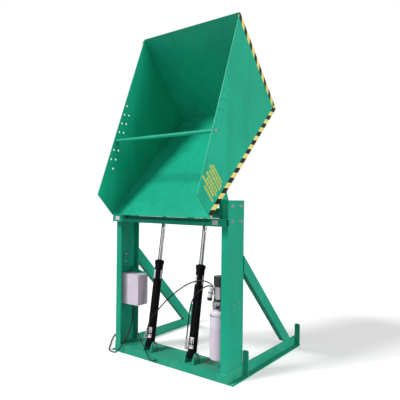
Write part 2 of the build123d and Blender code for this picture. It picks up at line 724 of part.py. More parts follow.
def make_brackets():
    """The control box's back plate with its bolted leg, and the power unit's arm."""
    outline = [(-web_inner, box_bottom + unit_bolt_edge), (box_right, box_bottom + unit_bolt_edge),
               (box_right, box_top + bracket_rise[0]), (-web_inner, box_top + bracket_rise[1])]
    upright = Plane(origin=(0, box_back, 0), x_dir=(1, 0, 0), z_dir=(0, -1, 0))
    plate = upright * extrude(Polygon(*outline, align=None), bracket_thick, dir=(0, 0, -1))
    leg_end = -web_inner + bracket_thick
    low, high = box_top + bracket_leg[0], box_top + bracket_leg[1]
    plate += block(-web_inner, leg_end, box_back - bracket_leg_reach, box_back + bracket_thick, low,
                   box_top + bracket_rise[1])
    plate += block(-web_inner, leg_end, box_back - bracket_leg_reach, box_back, low, high)
    for y, z in box_bolts:
        plate -= bar(small_hole, (-web_inner - 1, y, z), (leg_end + 1, y, z))

    (low_y, low_z), (high_y, high_z) = unit_bolts[0], unit_bolts[-1]
    arm = block(web_inner - unit_arm_thick, web_inner, low_y - unit_bolt_edge, high_y + unit_bolt_edge,
                low_z - unit_bolt_edge, high_z + unit_bolt_edge)
    arm_z = tank_top + manifold_height / 2
    half_y, half_z = unit_arm_half
    arm += block(unit_x + manifold_size / 2, web_inner - unit_arm_thick, unit_y - half_y, unit_y + half_y,
                 arm_z - half_z, arm_z + half_z)
    for y, z in unit_bolts:
        arm -= bar(small_hole, (web_inner - unit_arm_thick - 1, y, z), (web_inner + 1, y, z))
    pieces["unit_brackets"] = group(plate, arm)


def on_unit(radius, low, high, x=0.0, y=0.0):
    """An upright round bar on the power unit's axis, or beside it."""
    return bar(radius, (unit_x + x, unit_y + y, low), (unit_x + x, unit_y + y, high))


def tank_shape(inset):
    """The tank's rounded bottle shape, or its hollow one wall further in."""
    shape = on_unit(tank_radius - inset, tank_bottom + inset, tank_top - inset)
    circles = shape.edges().filter_by(GeomType.CIRCLE)
    shape = fillet(circles.sort_by(Axis.Z)[-1:], tank_shoulder - inset)
    circles = shape.edges().filter_by(GeomType.CIRCLE)
    return fillet(circles.sort_by(Axis.Z)[:1], tank_foot_round - inset)


def make_power_unit():
    """Motor over a pump block over a hanging oil tank, with the start solenoid beside the motor."""
    deck, top = tank_top, tank_top + manifold_height
    crown = top + motor_height
    half = manifold_size / 2
    tank = tank_shape(0) - tank_shape(tank_wall)
    pieces["oil_tank"] = tank - on_unit(tank_mouth, deck - 2 * tank_wall, deck + 1)

    manifold = block(unit_x - half, unit_x + half, unit_y - half, unit_y + half, deck, top)
    manifold = chamfer(manifold.edges().filter_by(Axis.Z), manifold_chamfer)
    manifold -= on_unit(shaft_bore, top - pump_depth, top + 1)
    for radius, y, rise, reach in valves:
        manifold += bar(radius, (unit_x - half - reach, unit_y + y, deck + rise),
                        (unit_x - half + 4, unit_y + y, deck + rise))
    x, y, z = unit_x + filler_offset, unit_y - half, deck + filler_rise
    radius, length = filler_neck
    seat = y + length - filler_knob[2] / 2 + 3
    filler = bar(radius, (x, seat, z), (x, y - filler_knob[1], z))
    filler += bar(filler_knob[0], (x, y - filler_knob[1], z), (x, y - filler_knob[2], z))
    pieces["filler_cap"] = filler
    pieces["pump_manifold"] = manifold - bar(radius + bolt_gap, (x, seat + 1, z), (x, y - 1, z))

    body = on_unit(motor_radius, top, crown)
    body -= on_unit(motor_radius - motor_wall, top + motor_floor, crown + 1)
    pieces["motor_body"] = body - on_unit(shaft_bore, top - 1, top + motor_floor + 1)
    cap = on_unit(cap_radius, crown, crown + cap_height)
    cap = fillet(cap.edges().filter_by(GeomType.CIRCLE).sort_by(Axis.Z)[-1:], cap_wall)
    pieces["motor_cap"] = cap - on_unit(cap_radius - cap_wall, crown - 1, crown + cap_height - cap_roof)
    rotor = on_unit(motor_radius - motor_wall - rotor_gap, top + rotor_ends[0], crown - rotor_ends[1])
    rotor += on_unit(motor_shaft / 2, top - pump_depth + shaft_end,
                     crown + cap_height - cap_roof - cap_shaft_gap)
    pieces["motor_rotor"] = rotor

    axis = Vector(unit_x, unit_y, top)
    foot, head = axis + Vector(*solenoid_foot), axis + Vector(*solenoid_head)
    can = bar(solenoid_radius, tuple(foot), tuple(head))
    can = chamfer(can.edges().filter_by(GeomType.CIRCLE), solenoid_chamfer)
    grip = foot + (head - foot) * 0.5
    height = top + solenoid_clip_rise
    clip = bar(solenoid_clip, (grip.X, grip.Y, height), (unit_x, unit_y, height))
    clip -= on_unit(motor_radius, top, crown)
    pieces["start_solenoid"] = can + clip.solids().sort_by(Axis.X)[0]

    fittings = []
    for x, y, z in hose_outlets:
        elbow = bar(fitting_radius, (unit_x - half, y, z), (x, y, z))
        elbow += Pos(x, y, z) * Sphere(fitting_radius)
        fittings.append(elbow + bar(fitting_radius, (x, y, z), (x, y, z + outlet_rise)))
    pieces["hose_fittings"] = group(*fittings)


def make_cords():
    """Hoses to the rams, the supply lead with its coil and plug, and the thin control cable."""
    pieces["hose_left"] = cord("hose_left", hose_left_route, hose_diameter)
    pieces["hose_right"] = cord("hose_right", hose_right_route, hose_diameter)
    pieces["supply_lead"] = cord("supply_lead", supply_route, lead_diameter)
    pieces["control_cable"] = cord("control_cable", control_route, cable_diameter)
    x, y = coil_centre
    wide = 1.5 * lead_diameter
    coil = Pos(x, y, lead_diameter) * Cylinder(coil_radius + wide, 2 * lead_diameter)
    coil -= Pos(x, y, lead_diameter) * Cylinder(coil_radius - wide, 2 * lead_diameter + 2)
    pieces["supply_coil"] = coil
    plug_z = 2 * lead_diameter + plug_radius + 1
    y += coil_radius
    tail = x - plug_lead
    neck = tail + plug_neck
    face = neck + plug_length
    tip = face + plug_pin
    plug = bar(plug_radius, (neck, y, plug_z), (face, y, plug_z))
    plug += bar(plug_neck_radius, (tail, y, plug_z), (neck, y, plug_z))
    for angle in (90, 210, 330):
        pin_y, pin_z = y + plug_pitch * cos(radians(angle)), plug_z + plug_pitch * sin(radians(angle))
        plug += bar(plug_pin_radius, (face - 1, pin_y, pin_z), (tip, pin_y, pin_z))
    pieces["supply_plug"] = plug


# Fastener places, and where hoses and cables leave their fittings
unit_bolt_y = pivot_y + 10.0
unit_bolts = [(unit_bolt_y + side * unit_bolt_spacing[0] / 2, tank_top + unit_bolt_rise + rise)
              for rise in (0, unit_bolt_spacing[1]) for side in (-1, 1)]
box_bolts = [(bracket_bolt_y, box_top + rise) for rise in bracket_bolt_rise]
grommet_place = (-120.0, 30.0)
gland_places = [(box_left + 133.1, box_front + 44.0), (box_left + 166.1, box_front + 72.0)]
hose_outlets = [(unit_x - 65.0, unit_y + y, tank_top + 46.0) for y in (18.0, 40.0)]
outlet_rise = 30.0

hose_left_route = [
    (455, 128, 662), (454, 130, 708), (444, 134, 752), (420, 134, 787), (382, 126, 806), (338, 112, 815),
    (291, 98, 810), (250, 88, 799), (212, 80, 782), (168, 75, 758), (124, 70, 729), (80, 65, 698),
    (36, 60, 664), (-10, 55, 624), (-55, 50, 581), (-104, 46, 530), (-150, 42, 478), (-190, 38, 436),
    (-219, 36, 397), (-240, 35, 361), (-256, 35, 325), (-268, 34.5, 287), (-279.6, 30.8, 250)]
hose_right_route = [
    (455, 150, 662), (453, 152, 708), (440, 154, 746), (410, 148, 770), (372, 135, 771), (334, 118, 748),
    (298, 98, 712), (266, 82, 668), (244, 71, 622), (233, 64, 574), (227, 55, 500), (223, 46, 410),
    (219, 38, 325), (216, 31.1, 252)]
supply_route = [
    (-533, 100, 456), (-533, 99, 396), (-531, 94, 336), (-532, 82, 278), (-536, 62, 222), (-543, 38, 170),
    (-554, 10, 122), (-566, -18, 82), (-582, -38, 42), (-612, -50, 12), (-652, -54, 7), (-698, -48, 7),
    (-738, -30, 7), (-776, 6, 7), (-822, 58, 7), (-872, 114, 7), (-926, 172, 7), (-980, 232, 7),
    (-1027, 292, 7), (-1067, 351, 7)]
control_route = [
    (-500, 128, 456), (-500, 127, 410), (-498, 124, 362), (-490, 116, 314), (-474, 102, 268),
    (-446, 82, 228), (-408, 58, 196), (-364, 32, 172), (-318, 8, 154), (-274, -10, 134), (-240, -20, 106),
    (-215, -26, 76), (-192, -32, 48), (-162, -36, 32), (-134, -30, 28), (-121, -17, 29), (-120, -4, 30)]


def main():
    """Make every piece and write one file for each."""
    make_base()
    make_posts()
    make_stop_bar()
    make_bearings()
    make_bucket()
    make_pivot()
    make_rams()
    make_control_box()
    make_power_unit()
    make_cords()
    os.makedirs("parts", exist_ok=True)
    for name, shape in pieces.items():
        moved = shape.moved(Pos(0, -base_depth / 2, 0))
        export_step(moved, "parts/" + name + ".step")
    print("nodes", len(pieces))
    print("pivot", pivot_y - base_depth / 2, pivot_z, "ram pin", ram_pin_setback - base_depth / 2, ram_pin_z)
    print("ram lean", degrees(ram_lean), "extended", ram_long, "closed", ram_short, "stroke", stroke)
    print("ram swing over the sweep", degrees(ram_swing), "platform clearance when down",
          pivot_z + pivot_from_lip - back_length - rib_depth)


main()
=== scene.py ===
"""Looks of a stationary hydraulic box dumper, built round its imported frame.

The frame gives every steel part in place. This file gives each of them its finish, and adds what the
frame leaves out: weld beads, hazard tape, labels, washers, hose ferrules, the motor's studs and bands,
and smooth hoses and cables. Lengths are in metres in the frame's own axes, unless a docstring says
otherwise: +Z is up, -Y is the dump side and +X is the right side seen from there.
"""

import logging
import math
from dataclasses import dataclass, field
from enum import Enum
from itertools import product
from typing import Callable, Sequence

import bmesh
import bpy
import numpy as np
from mathutils import Matrix, Vector


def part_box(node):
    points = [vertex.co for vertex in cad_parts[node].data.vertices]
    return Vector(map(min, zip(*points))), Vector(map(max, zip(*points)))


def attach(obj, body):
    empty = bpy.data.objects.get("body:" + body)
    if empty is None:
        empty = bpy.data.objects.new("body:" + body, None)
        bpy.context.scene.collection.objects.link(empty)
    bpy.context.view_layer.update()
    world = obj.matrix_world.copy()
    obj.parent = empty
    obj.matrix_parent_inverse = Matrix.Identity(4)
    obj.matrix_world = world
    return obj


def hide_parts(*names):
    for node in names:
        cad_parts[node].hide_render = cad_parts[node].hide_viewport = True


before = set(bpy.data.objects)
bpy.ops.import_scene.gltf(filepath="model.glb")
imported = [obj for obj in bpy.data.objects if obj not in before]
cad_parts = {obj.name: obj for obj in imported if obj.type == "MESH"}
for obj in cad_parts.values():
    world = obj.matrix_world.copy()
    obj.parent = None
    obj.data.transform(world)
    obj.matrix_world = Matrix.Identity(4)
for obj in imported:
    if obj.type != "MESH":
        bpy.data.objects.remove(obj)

LOG = logging.getLogger("box_dumper")
NODES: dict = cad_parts
Point = Sequence[float]
Colour = tuple[float, float, float]
Profile = Sequence[tuple[float, float]]

UP = (0.0, 0.0, 1.0)
BOTH = (-1.0, 1.0)
SIDES = (("left", -1.0), ("right", 1.0))
RAM_X = 0.255


# ---------------------------------------------------------------- shader expressions

class Wire:
    """A socket of a material's node tree that takes part in Python arithmetic."""

    def __init__(self, shop: "Workshop", socket: bpy.types.NodeSocket) -> None:
        """Keeps the tree and the socket that the value comes out of."""
        self.shop = shop
        self.socket = socket

    def _math(self, operation: str, first: "Wire | float", second: "Wire | float" = 0.0) -> "Wire":
        """Adds one Math node."""
        return self.shop.node("ShaderNodeMath", {"operation": operation}, {0: first, 1: second})[0]

    def __add__(self, other: "Wire | float") -> "Wire":
        """Sum."""
        return self._math("ADD", self, other)

    __radd__ = __add__

    def __sub__(self, other: "Wire | float") -> "Wire":
        """Difference."""
        return self._math("SUBTRACT", self, other)

    def __rsub__(self, other: float) -> "Wire":
        """Difference from a number."""
        return self._math("SUBTRACT", other, self)

    def __mul__(self, other: "Wire | float") -> "Wire":
        """Product."""
        return self._math("MULTIPLY", self, other)

    __rmul__ = __mul__

    def __truediv__(self, other: "Wire | float") -> "Wire":
        """Quotient."""
        return self._math("DIVIDE", self, other)

    def __rtruediv__(self, other: float) -> "Wire":
        """Quotient of a number by the value."""
        return self._math("DIVIDE", other, self)

    def __lt__(self, other: "Wire | float") -> "Wire":
        """1 where the value is under the other one, else 0."""
        return self._math("LESS_THAN", self, other)

    def __gt__(self, other: "Wire | float") -> "Wire":
        """1 where the value is over the other one, else 0."""
        return self._math("GREATER_THAN", self, other)

    def fraction(self) -> "Wire":
        """The part after the decimal point."""
        return self._math("FRACT", self)

    def ramp(self, low: float, high: float) -> "Wire":
        """Smooth step: 0 at low and 1 at high."""
        return self.shop.node("ShaderNodeMapRange", {"interpolation_type": "SMOOTHSTEP"},
                              {"Value": self, "From Min": low, "From Max": high})["Result"]


class Outputs:
    """The outputs of one node, by number or name, as wires."""

    def __init__(self, shop: "Workshop", node: bpy.types.Node) -> None:
        """Keeps the node."""
        self.shop = shop
        self.node = node

    def __getitem__(self, key: int | str) -> Wire:
        """The output with that number or name."""
        return Wire(self.shop, self.node.outputs[key])


class Workshop:
    """One material under construction: its tree, its shader and the nodes that feed it."""

    def __init__(self, name: str) -> None:
        """Starts a material that holds a Principled shader.

        Args:
            name: The finish's name.
        """
        self.material = bpy.data.materials.new(name)
        self.material.use_nodes = True
        self.tree = self.material.node_tree
        self.shader = self.tree.nodes["Principled BSDF"]
        self.place = self.node("ShaderNodeTexCoord", {}, {})["Object"]

    def node(self, kind: str, settings: dict, inputs: dict) -> Outputs:
        """Adds a node.

        Args:
            kind: The node's type.
            settings: Its properties, set before its sockets.
            inputs: Values or wires of its sockets, by number or name.

        Returns:
            The node's outputs.
        """
        made = self.tree.nodes.new(kind)
        for key, value in settings.items():
            setattr(made, key, value)
        for key, value in inputs.items():
            self.feed(made.inputs[key], value)
        return Outputs(self, made)

    def feed(self, socket: bpy.types.NodeSocket, value: object) -> None:
        """Links a wire to a socket, or sets the socket's own value."""
        if isinstance(value, Wire):
            self.tree.links.new(value.socket, socket)
        elif isinstance(value, tuple) and len(value) == 3 and socket.type == "RGBA":
            socket.default_value = (*value, 1.0)
        else:
            socket.default_value = value

    def axes(self, place: Wire | None = None) -> tuple[Wire, Wire, Wire]:
        """X, Y and Z of a place as three wires."""
        parts = self.node("ShaderNodeSeparateXYZ", {}, {0: place or self.place})
        return parts[0], parts[1], parts[2]

    def stretched(self, scale: Point) -> Wire:
        """Object coordinates multiplied along each axis."""
        return self.node("ShaderNodeMapping", {}, {"Vector": self.place, "Scale": tuple(scale)})[0]

    def noise(self, scale: float, detail: float = 3.0, place: Wire | None = None) -> Wire:
        """Soft noise from 0 to 1.

        Args:
            scale: Features per metre.
            detail: Octaves.
            place: Coordinates, or the object's own.

        Returns:
            The noise's height.
        """
        return self.node("ShaderNodeTexNoise", {}, {"Vector": place or self.place, "Scale": scale,
                                                    "Detail": detail, "Roughness": 0.55})[0]

    def cells(self, scale: float, place: Wire | None = None) -> Outputs:
        """A Voronoi pattern, for spangle and grain."""
        return self.node("ShaderNodeTexVoronoi", {}, {"Vector": place or self.place, "Scale": scale})

    def blend(self, share: Wire | float, first: object, second: object) -> Wire:
        """A colour between two: the first where share is 0, the second where it is 1."""
        mixer = self.node("ShaderNodeMix", {"data_type": "RGBA"}, {0: share, 6: first, 7: second})
        return mixer[2]

    def bump(self, height: Wire, depth: float, strength: float = 1.0) -> None:
        """Feeds a height to the shader's normal, in metres of depth."""
        relief = self.node("ShaderNodeBump", {}, {"Height": height, "Distance": depth, "Strength": strength})
        self.feed(self.shader.inputs["Normal"], relief[0])

    def set(self, **sockets: object) -> None:
        """Sets the shader's sockets, with underscores for the spaces of their names."""
        for key, value in sockets.items():
            self.feed(self.shader.inputs[key.replace("_", " ")], value)


# ---------------------------------------------------------------- finishes

GREEN: Colour = (0.010, 0.375, 0.232)
GREEN_SHADE: Colour = (0.008, 0.300, 0.184)
RUBBED: Colour = (0.10, 0.50, 0.36)
DUST: Colour = (0.20, 0.33, 0.26)
DARK_SPOT_TONE: Colour = (0.085, 0.055, 0.035)
WORN_PRINT: Colour = (0.30, 0.34, 0.28)


@dataclass(frozen=True)
class Enamel:
    """Sprayed enamel on mill steel: orange peel, sags of tone, scuffs, and dust near the floor."""

    name: str
    colour: Colour
    shade: Colour
    roughness: float = 0.34
    gloss: float = 0.16
    dust_height: float = 0.0
    scuffs: float = 0.5
    # Centre and radius of a round dark brown spot, or None.
    dark_spot: tuple[float, float, float, float] | None = None

    def make(self) -> bpy.types.Material:
        """The material."""
        shop = Workshop(self.name)
        broad = shop.noise(1.7, 2.0)
        streaks = shop.noise(1.0, 3.0, shop.stretched((14.0, 14.0, 1.1)))
        mottle = (broad * 0.6 + streaks * 0.4).ramp(0.32, 0.68)
        paint = shop.blend(mottle, self.shade, self.colour)
        marks = shop.noise(1.0, 5.0, shop.stretched((34.0, 34.0, 9.0)))
        scuff = marks.ramp(0.66, 0.76) * (self.scuffs * shop.noise(2.3).ramp(0.45, 0.7))
        paint = shop.blend(scuff * 0.25, paint, RUBBED)
        rough = self.roughness + 0.10 * shop.noise(9.0) + 0.18 * scuff
        if self.dust_height:
            height = shop.axes()[2]
            dust = (1.0 - height.ramp(0.0, self.dust_height)) * shop.noise(11.0, 4.0).ramp(0.25, 0.75)
            paint = shop.blend(dust * 0.20, paint, DUST)
            rough = rough + 0.25 * dust
        # A round dark brown spot, rougher, fading out towards the given radius round the given place.
        if self.dark_spot:
            near = shop.node("ShaderNodeVectorMath", {"operation": "DISTANCE"},
                             {0: shop.place, 1: self.dark_spot[:3]})["Value"]
            spot = 1.0 - (near + 0.05 * shop.noise(24.0, 4.0)).ramp(self.dark_spot[3] * 0.4, self.dark_spot[3])
            paint = shop.blend(spot * 0.75, paint, DARK_SPOT_TONE)
            rough = rough + 0.2 * spot
        peel = shop.noise(240.0, 2.0) * 0.5 + shop.noise(26.0, 2.0) * 0.9
        shop.bump(peel, 0.0011, 0.55)
        shop.set(Base_Color=paint, Roughness=rough, Specular_IOR_Level=self.gloss)
        return shop.material


@dataclass(frozen=True)
class Metal:
    """A bare or plated metal: spangle, drawn lines along one axis and a little tarnish."""

    name: str
    colour: Colour
    tarnish: Colour
    roughness: float
    grain: Point = (60.0, 60.0, 60.0)
    spangle: float = 0.0
    depth: float = 0.0002

    def make(self) -> bpy.types.Material:
        """The material."""
        shop = Workshop(self.name)
        lines = shop.noise(1.0, 3.0, shop.stretched(self.grain))
        patches = shop.noise(16.0, 4.0).ramp(0.35, 0.75)
        tone = shop.blend(patches * 0.7, self.colour, self.tarnish)
        rough = self.roughness + 0.12 * lines + 0.10 * patches
        height = lines
        if self.spangle:
            flake = shop.cells(self.spangle)
            parts = shop.axes(flake["Color"])
            tone = shop.blend(parts[0] * 0.35, tone, self.tarnish)
            rough = rough + 0.12 * parts[1]
            height = height + flake["Distance"]
        shop.bump(height, self.depth, 0.6)
        shop.set(Base_Color=tone, Roughness=rough, Metallic=1.0)
        return shop.material


@dataclass(frozen=True)
class Moulded:
    """Plastic, rubber or powder coat: a fine grain, a soft second tone and some dust."""

    name: str
    colour: Colour
    second: Colour
    roughness: float
    grain: float = 420.0
    depth: float = 0.0004
    specular: float = 0.5
    subsurface: float = 0.0

    def make(self) -> bpy.types.Material:
        """The material."""
        shop = Workshop(self.name)
        patches = shop.noise(7.0, 4.0).ramp(0.35, 0.7)
        speckle = shop.cells(self.grain)["Distance"]
        shop.set(Base_Color=shop.blend(patches, self.colour, self.second),
                 Roughness=self.roughness + 0.12 * patches + 0.08 * speckle,
                 Specular_IOR_Level=self.specular)
        if self.subsurface:
            shop.set(Subsurface_Weight=self.subsurface, Subsurface_Scale=0.02)
        shop.bump(speckle, self.depth, 0.7)
        return shop.material


@dataclass(frozen=True)
class TankPlastic:
    """Natural polyethylene: milky, darker where the oil stands, with painted shade darkening its right side.
    """

    name: str
    fill_level: float
    axis_x: float
    shell: Colour = (0.80, 0.66, 0.76)
    clouded: Colour = (0.84, 0.70, 0.79)
    oil: Colour = (0.62, 0.45, 0.56)
    # Painted shade: a greyer tone for the tank's right side, where it turns away from the light.
    painted_shade_tone: Colour = (0.50, 0.46, 0.55)

    def make(self) -> bpy.types.Material:
        """The material."""
        shop = Workshop(self.name)
        across, _, height = shop.axes()
        oil = 1.0 - height.ramp(self.fill_level - 0.012, self.fill_level + 0.012)
        tone = shop.blend(shop.noise(8.0, 3.0).ramp(0.3, 0.7), self.shell, self.clouded)
        tone = shop.blend(oil * 0.35, tone, self.oil)
        # Painted shade: the right side is blended towards the greyer tone, as if in shade.
        side = (across - self.axis_x).ramp(-0.03, 0.085)
        tone = shop.blend(side * 0.35, tone, self.painted_shade_tone)
        shop.set(Base_Color=tone, Roughness=0.38 + 0.1 * shop.noise(30.0), Subsurface_Weight=0.25,
                 Subsurface_Scale=0.03)
        shop.bump(shop.noise(38.0, 3.0), 0.0012, 0.5)
        return shop.material


@dataclass(frozen=True)
class HazardTape:
    """Vinyl tape in two colours whose slanted blocks follow the strip's own UV map, in metres."""

    name: str
    period: float
    light: Colour = (0.86, 0.72, 0.20)
    dark: Colour = (0.012, 0.012, 0.012)

    def make(self) -> bpy.types.Material:
        """The material."""
        shop = Workshop(self.name)
        strip = shop.node("ShaderNodeUVMap", {"uv_map": "strip"}, {})[0]
        along, across, _ = shop.axes(strip)
        block = ((along - across) / self.period).fraction() < 0.5
        worn = shop.noise(60.0, 5.0).ramp(0.62, 0.74)
        print_colour = shop.blend(block, self.light, self.dark)
        shop.set(Base_Color=shop.blend(worn * 0.25, print_colour, WORN_PRINT),
                 Roughness=0.33 + 0.25 * worn)
        shop.bump(shop.noise(90.0, 2.0), 0.0003, 0.5)
        return shop.material


@dataclass(frozen=True)
class Vinyl:
    """A printed sticker: one colour, slightly faded in patches, with lifted edges."""

    name: str
    colour: Colour
    faded: Colour

    def make(self) -> bpy.types.Material:
        """The material."""
        shop = Workshop(self.name)
        patches = shop.noise(45.0, 4.0).ramp(0.35, 0.72)
        shop.set(Base_Color=shop.blend(patches, self.colour, self.faded), Roughness=0.42 + 0.15 * patches)
        shop.bump(shop.noise(120.0, 2.0), 0.0002, 0.5)
        return shop.material


@dataclass(frozen=True)
class HoseRubber:
    """A cord's sheath: fine ribs of the braid that show through, and scuffed patches; on the pressure hoses
    the patches' bluish tone is a painted sheen.
    """

    name: str
    colour: Colour
    scuff_and_sheen_tone: Colour
    roughness: float = 0.42

    def make(self) -> bpy.types.Material:
        """The material."""
        shop = Workshop(self.name)
        patches = shop.noise(22.0, 4.0).ramp(0.45, 0.75)
        ribs = shop.cells(620.0)["Distance"]
        # The second tone marks scuffs; on the pressure hoses its bluish tint is painted sheen.
        shop.set(Base_Color=shop.blend(patches * 0.4, self.colour, self.scuff_and_sheen_tone), Specular_IOR_Level=0.3,
                 Roughness=self.roughness + 0.16 * patches)
        shop.bump(ribs, 0.0005, 0.6)
        return shop.material


class Finish(Enum):
    """Every finish of the machine."""

    FRAME = Enamel("frame_enamel", GREEN, GREEN_SHADE, dust_height=0.30, dark_spot=(0.40, -0.50, 0.08, 0.11))
    BUCKET = Enamel("bucket_enamel", (0.010, 0.445, 0.272), (0.007, 0.350, 0.212), 0.30, 0.30, scuffs=0.8)
    BEAD = Enamel("painted_weld", (0.035, 0.47, 0.30), GREEN_SHADE, 0.26)
    BARREL = Enamel("gloss_black", (0.004, 0.004, 0.005), (0.007, 0.006, 0.008), 0.22, 0.07, scuffs=0.0)
    BOX = Moulded("box_powder_coat", (0.66, 0.57, 0.69), (0.72, 0.63, 0.74), 0.45, 900.0, 0.0003, 0.35)
    CHROME = Metal("hard_chrome", (0.70, 0.68, 0.71), (0.42, 0.40, 0.43), 0.10, (40.0, 40.0, 300.0),
                   depth=0.00005)
    ZINC = Metal("zinc_plate", (0.72, 0.72, 0.74), (0.50, 0.50, 0.55), 0.24, spangle=260.0)
    CAST = Metal("painted_casting", (0.10, 0.11, 0.12), (0.05, 0.055, 0.06), 0.55, spangle=420.0,
                 depth=0.0006)
    ALLOY = Metal("cast_alloy", (0.62, 0.60, 0.63), (0.36, 0.34, 0.37), 0.34, (90.0, 90.0, 30.0), 300.0,
                  0.0005)
    SILVER = Metal("motor_can_silver", (0.80, 0.78, 0.82), (0.52, 0.50, 0.54), 0.26, (30.0, 30.0, 260.0))
    COPPER = Metal("copper_bar", (0.72, 0.36, 0.20), (0.36, 0.20, 0.12), 0.28)
    BLACK = Moulded("black_moulding", (0.012, 0.012, 0.013), (0.030, 0.030, 0.032), 0.38)
    RUBBER = Moulded("rubber", (0.010, 0.010, 0.011), (0.028, 0.027, 0.027), 0.62, 300.0, 0.0006, 0.35)
    # Painted sheen: the bluish second tone stands in for the bluish highlights on the black hoses.
    HOSE = HoseRubber("hose_sheath", (0.006, 0.007, 0.013), (0.040, 0.042, 0.070), 0.34)
    CABLE = HoseRubber("cable_sheath", (0.006, 0.005, 0.005), (0.022, 0.018, 0.018), 0.50)
    TANK = TankPlastic("tank_polyethylene", 0.44, 0.52)
    TAPE = HazardTape("hazard_tape", 0.135)
    YELLOW = Vinyl("yellow_vinyl", (0.58, 0.58, 0.06), (0.36, 0.46, 0.09))
    WHITE = Vinyl("white_vinyl", (0.84, 0.80, 0.83), (0.74, 0.70, 0.75))
    PINK = Vinyl("pink_vinyl", (0.62, 0.26, 0.42), (0.52, 0.24, 0.36))
    GREY = Vinyl("grey_print", (0.22, 0.20, 0.24), (0.30, 0.28, 0.32))

    def material(self) -> bpy.types.Material:
        """The finish's material, made once."""
        return bpy.data.materials.get(self.value.name) or self.value.make()


class Slot(Enum):
    """The record's material slot names, passed with each added piece."""

    FRAME = "frame_paint"
    BUCKET = "bucket_paint"
    BLACK_RAM = "ram_black"
    STEEL = "bright_steel"
    ALLOY = "block_alloy"
    PLASTIC = "black_plastic"
    RUBBER = "black_rubber"
    BOX = "box_enamel"


class Bead(float, Enum):
    """A weld bead's radius, in metres."""

    FINE = 0.004
    SMALL = 0.0045
    PLAIN = 0.005
    CORNER = 0.0055
    HEAVY = 0.006


def dress(finish: Finish, *names: str) -> None:
    """Gives CAD nodes their finish."""
    for name in names:
        slots = NODES[name].data.materials
        slots.clear()
        slots.append(finish.material())


# ---------------------------------------------------------------- surfaces

@dataclass
class Surface:
    """Points and quads under construction, joined into one piece at the end."""

    points: list[np.ndarray] = field(default_factory=list)
    quads: list[np.ndarray] = field(default_factory=list)
    uvs: list[np.ndarray] = field(default_factory=list)
    count: int = 0

    def grid(self, rows: np.ndarray, wrap: bool = True, uv: np.ndarray | None = None) -> None:
        """Adds a grid of points as quads.

        Args:
            rows: Places of shape (rows, columns, 3).
            wrap: Whether the last column joins the first.
            uv: A strip map of shape (rows, columns, 2).
        """
        high, wide = rows.shape[:2]
        index = np.arange(high * wide).reshape(high, wide) + self.count
        if wrap:
            index = np.concatenate([index, index[:, :1]], axis=1)
        quads = np.stack([index[:-1, :-1], index[:-1, 1:], index[1:, 1:], index[1:, :-1]], axis=-1)
        self.points.append(rows.reshape(-1, 3))
        self.quads.append(quads.reshape(-1, 4))
        self.uvs.append(np.zeros((high * wide, 2)) if uv is None else uv.reshape(-1, 2))
        self.count += high * wide

    def bar(self, rows: np.ndarray, uv: np.ndarray | None = None) -> None:
        """Adds a four-sided bar with a flat cap at each end.

        Args:
            rows: Its section's four corners at each step along it, of shape (steps, 4, 3).
            uv: A strip map of shape (steps, 4, 2).
        """
        self.grid(rows, uv=uv)
        for cap in (rows[0], rows[-1]):
            self.grid(cap[[0, 1, 3, 2]].reshape(2, 2, 3), wrap=False)

    def piece(self, name: str, finish: Finish, body: str, slot: Slot,
              angle: float = 38.0) -> bpy.types.Object:
        """Makes the object, closes it, and puts it on its body.

        Args:
            name: The piece's name.
            finish: Its finish.
            body: The CAD body it moves with.
            slot: The record's slot for the piece; not used.
            angle: Edges sharper than this many degrees stay crisp.

        Returns:
            The new object.
        """
        points, quads = np.concatenate(self.points), np.concatenate(self.quads)
        mesh = bpy.data.meshes.new(name)
        mesh.from_pydata(points.tolist(), [], quads.tolist())
        layer = mesh.uv_layers.new(name="strip")
        layer.uv.foreach_set("vector", np.concatenate(self.uvs)[quads.ravel()].astype(np.float32).ravel())
        work = bmesh.new()
        work.from_mesh(mesh)
        bmesh.ops.remove_doubles(work, verts=work.verts, dist=2e-6)
        bmesh.ops.dissolve_degenerate(work, edges=work.edges, dist=1e-7)
        bmesh.ops.recalc_face_normals(work, faces=work.faces)
        work.to_mesh(mesh)
        work.free()
        mesh.polygons.foreach_set("use_smooth", np.ones(len(mesh.polygons), bool))
        mesh.set_sharp_from_angle(angle=math.radians(angle))
        made = bpy.data.objects.new(name, mesh)
        bpy.context.scene.collection.objects.link(made)
        made.data.materials.append(finish.material())
        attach(made, body)
        LOG.info("%s: %d faces on %s", name, len(mesh.polygons), body)
        return made


def across_axes(direction: Point) -> tuple[np.ndarray, np.ndarray, np.ndarray]:
    """Two unit vectors square to a direction, and the direction's own unit vector."""
    way = np.asarray(direction, float)
    way = way / np.linalg.norm(way)
    helper = np.array([0.0, 0.0, 1.0]) if abs(way[2]) < 0.9 else np.array([1.0, 0.0, 0.0])
    side = np.cross(helper, way)
    side = side / np.linalg.norm(side)
    return side, np.cross(way, side), way


def solid(*steps: tuple[float, float]) -> Profile:
    """A profile closed onto its axis at its first and last heights."""
    return [(0.0, steps[0][1]), *steps, (0.0, steps[-1][1])]


def moved(profile: Profile, radius: float, height: float) -> Profile:
    """A profile carried out by a radius and up by a height."""
    return [(radius + r, height + h) for r, h in profile]


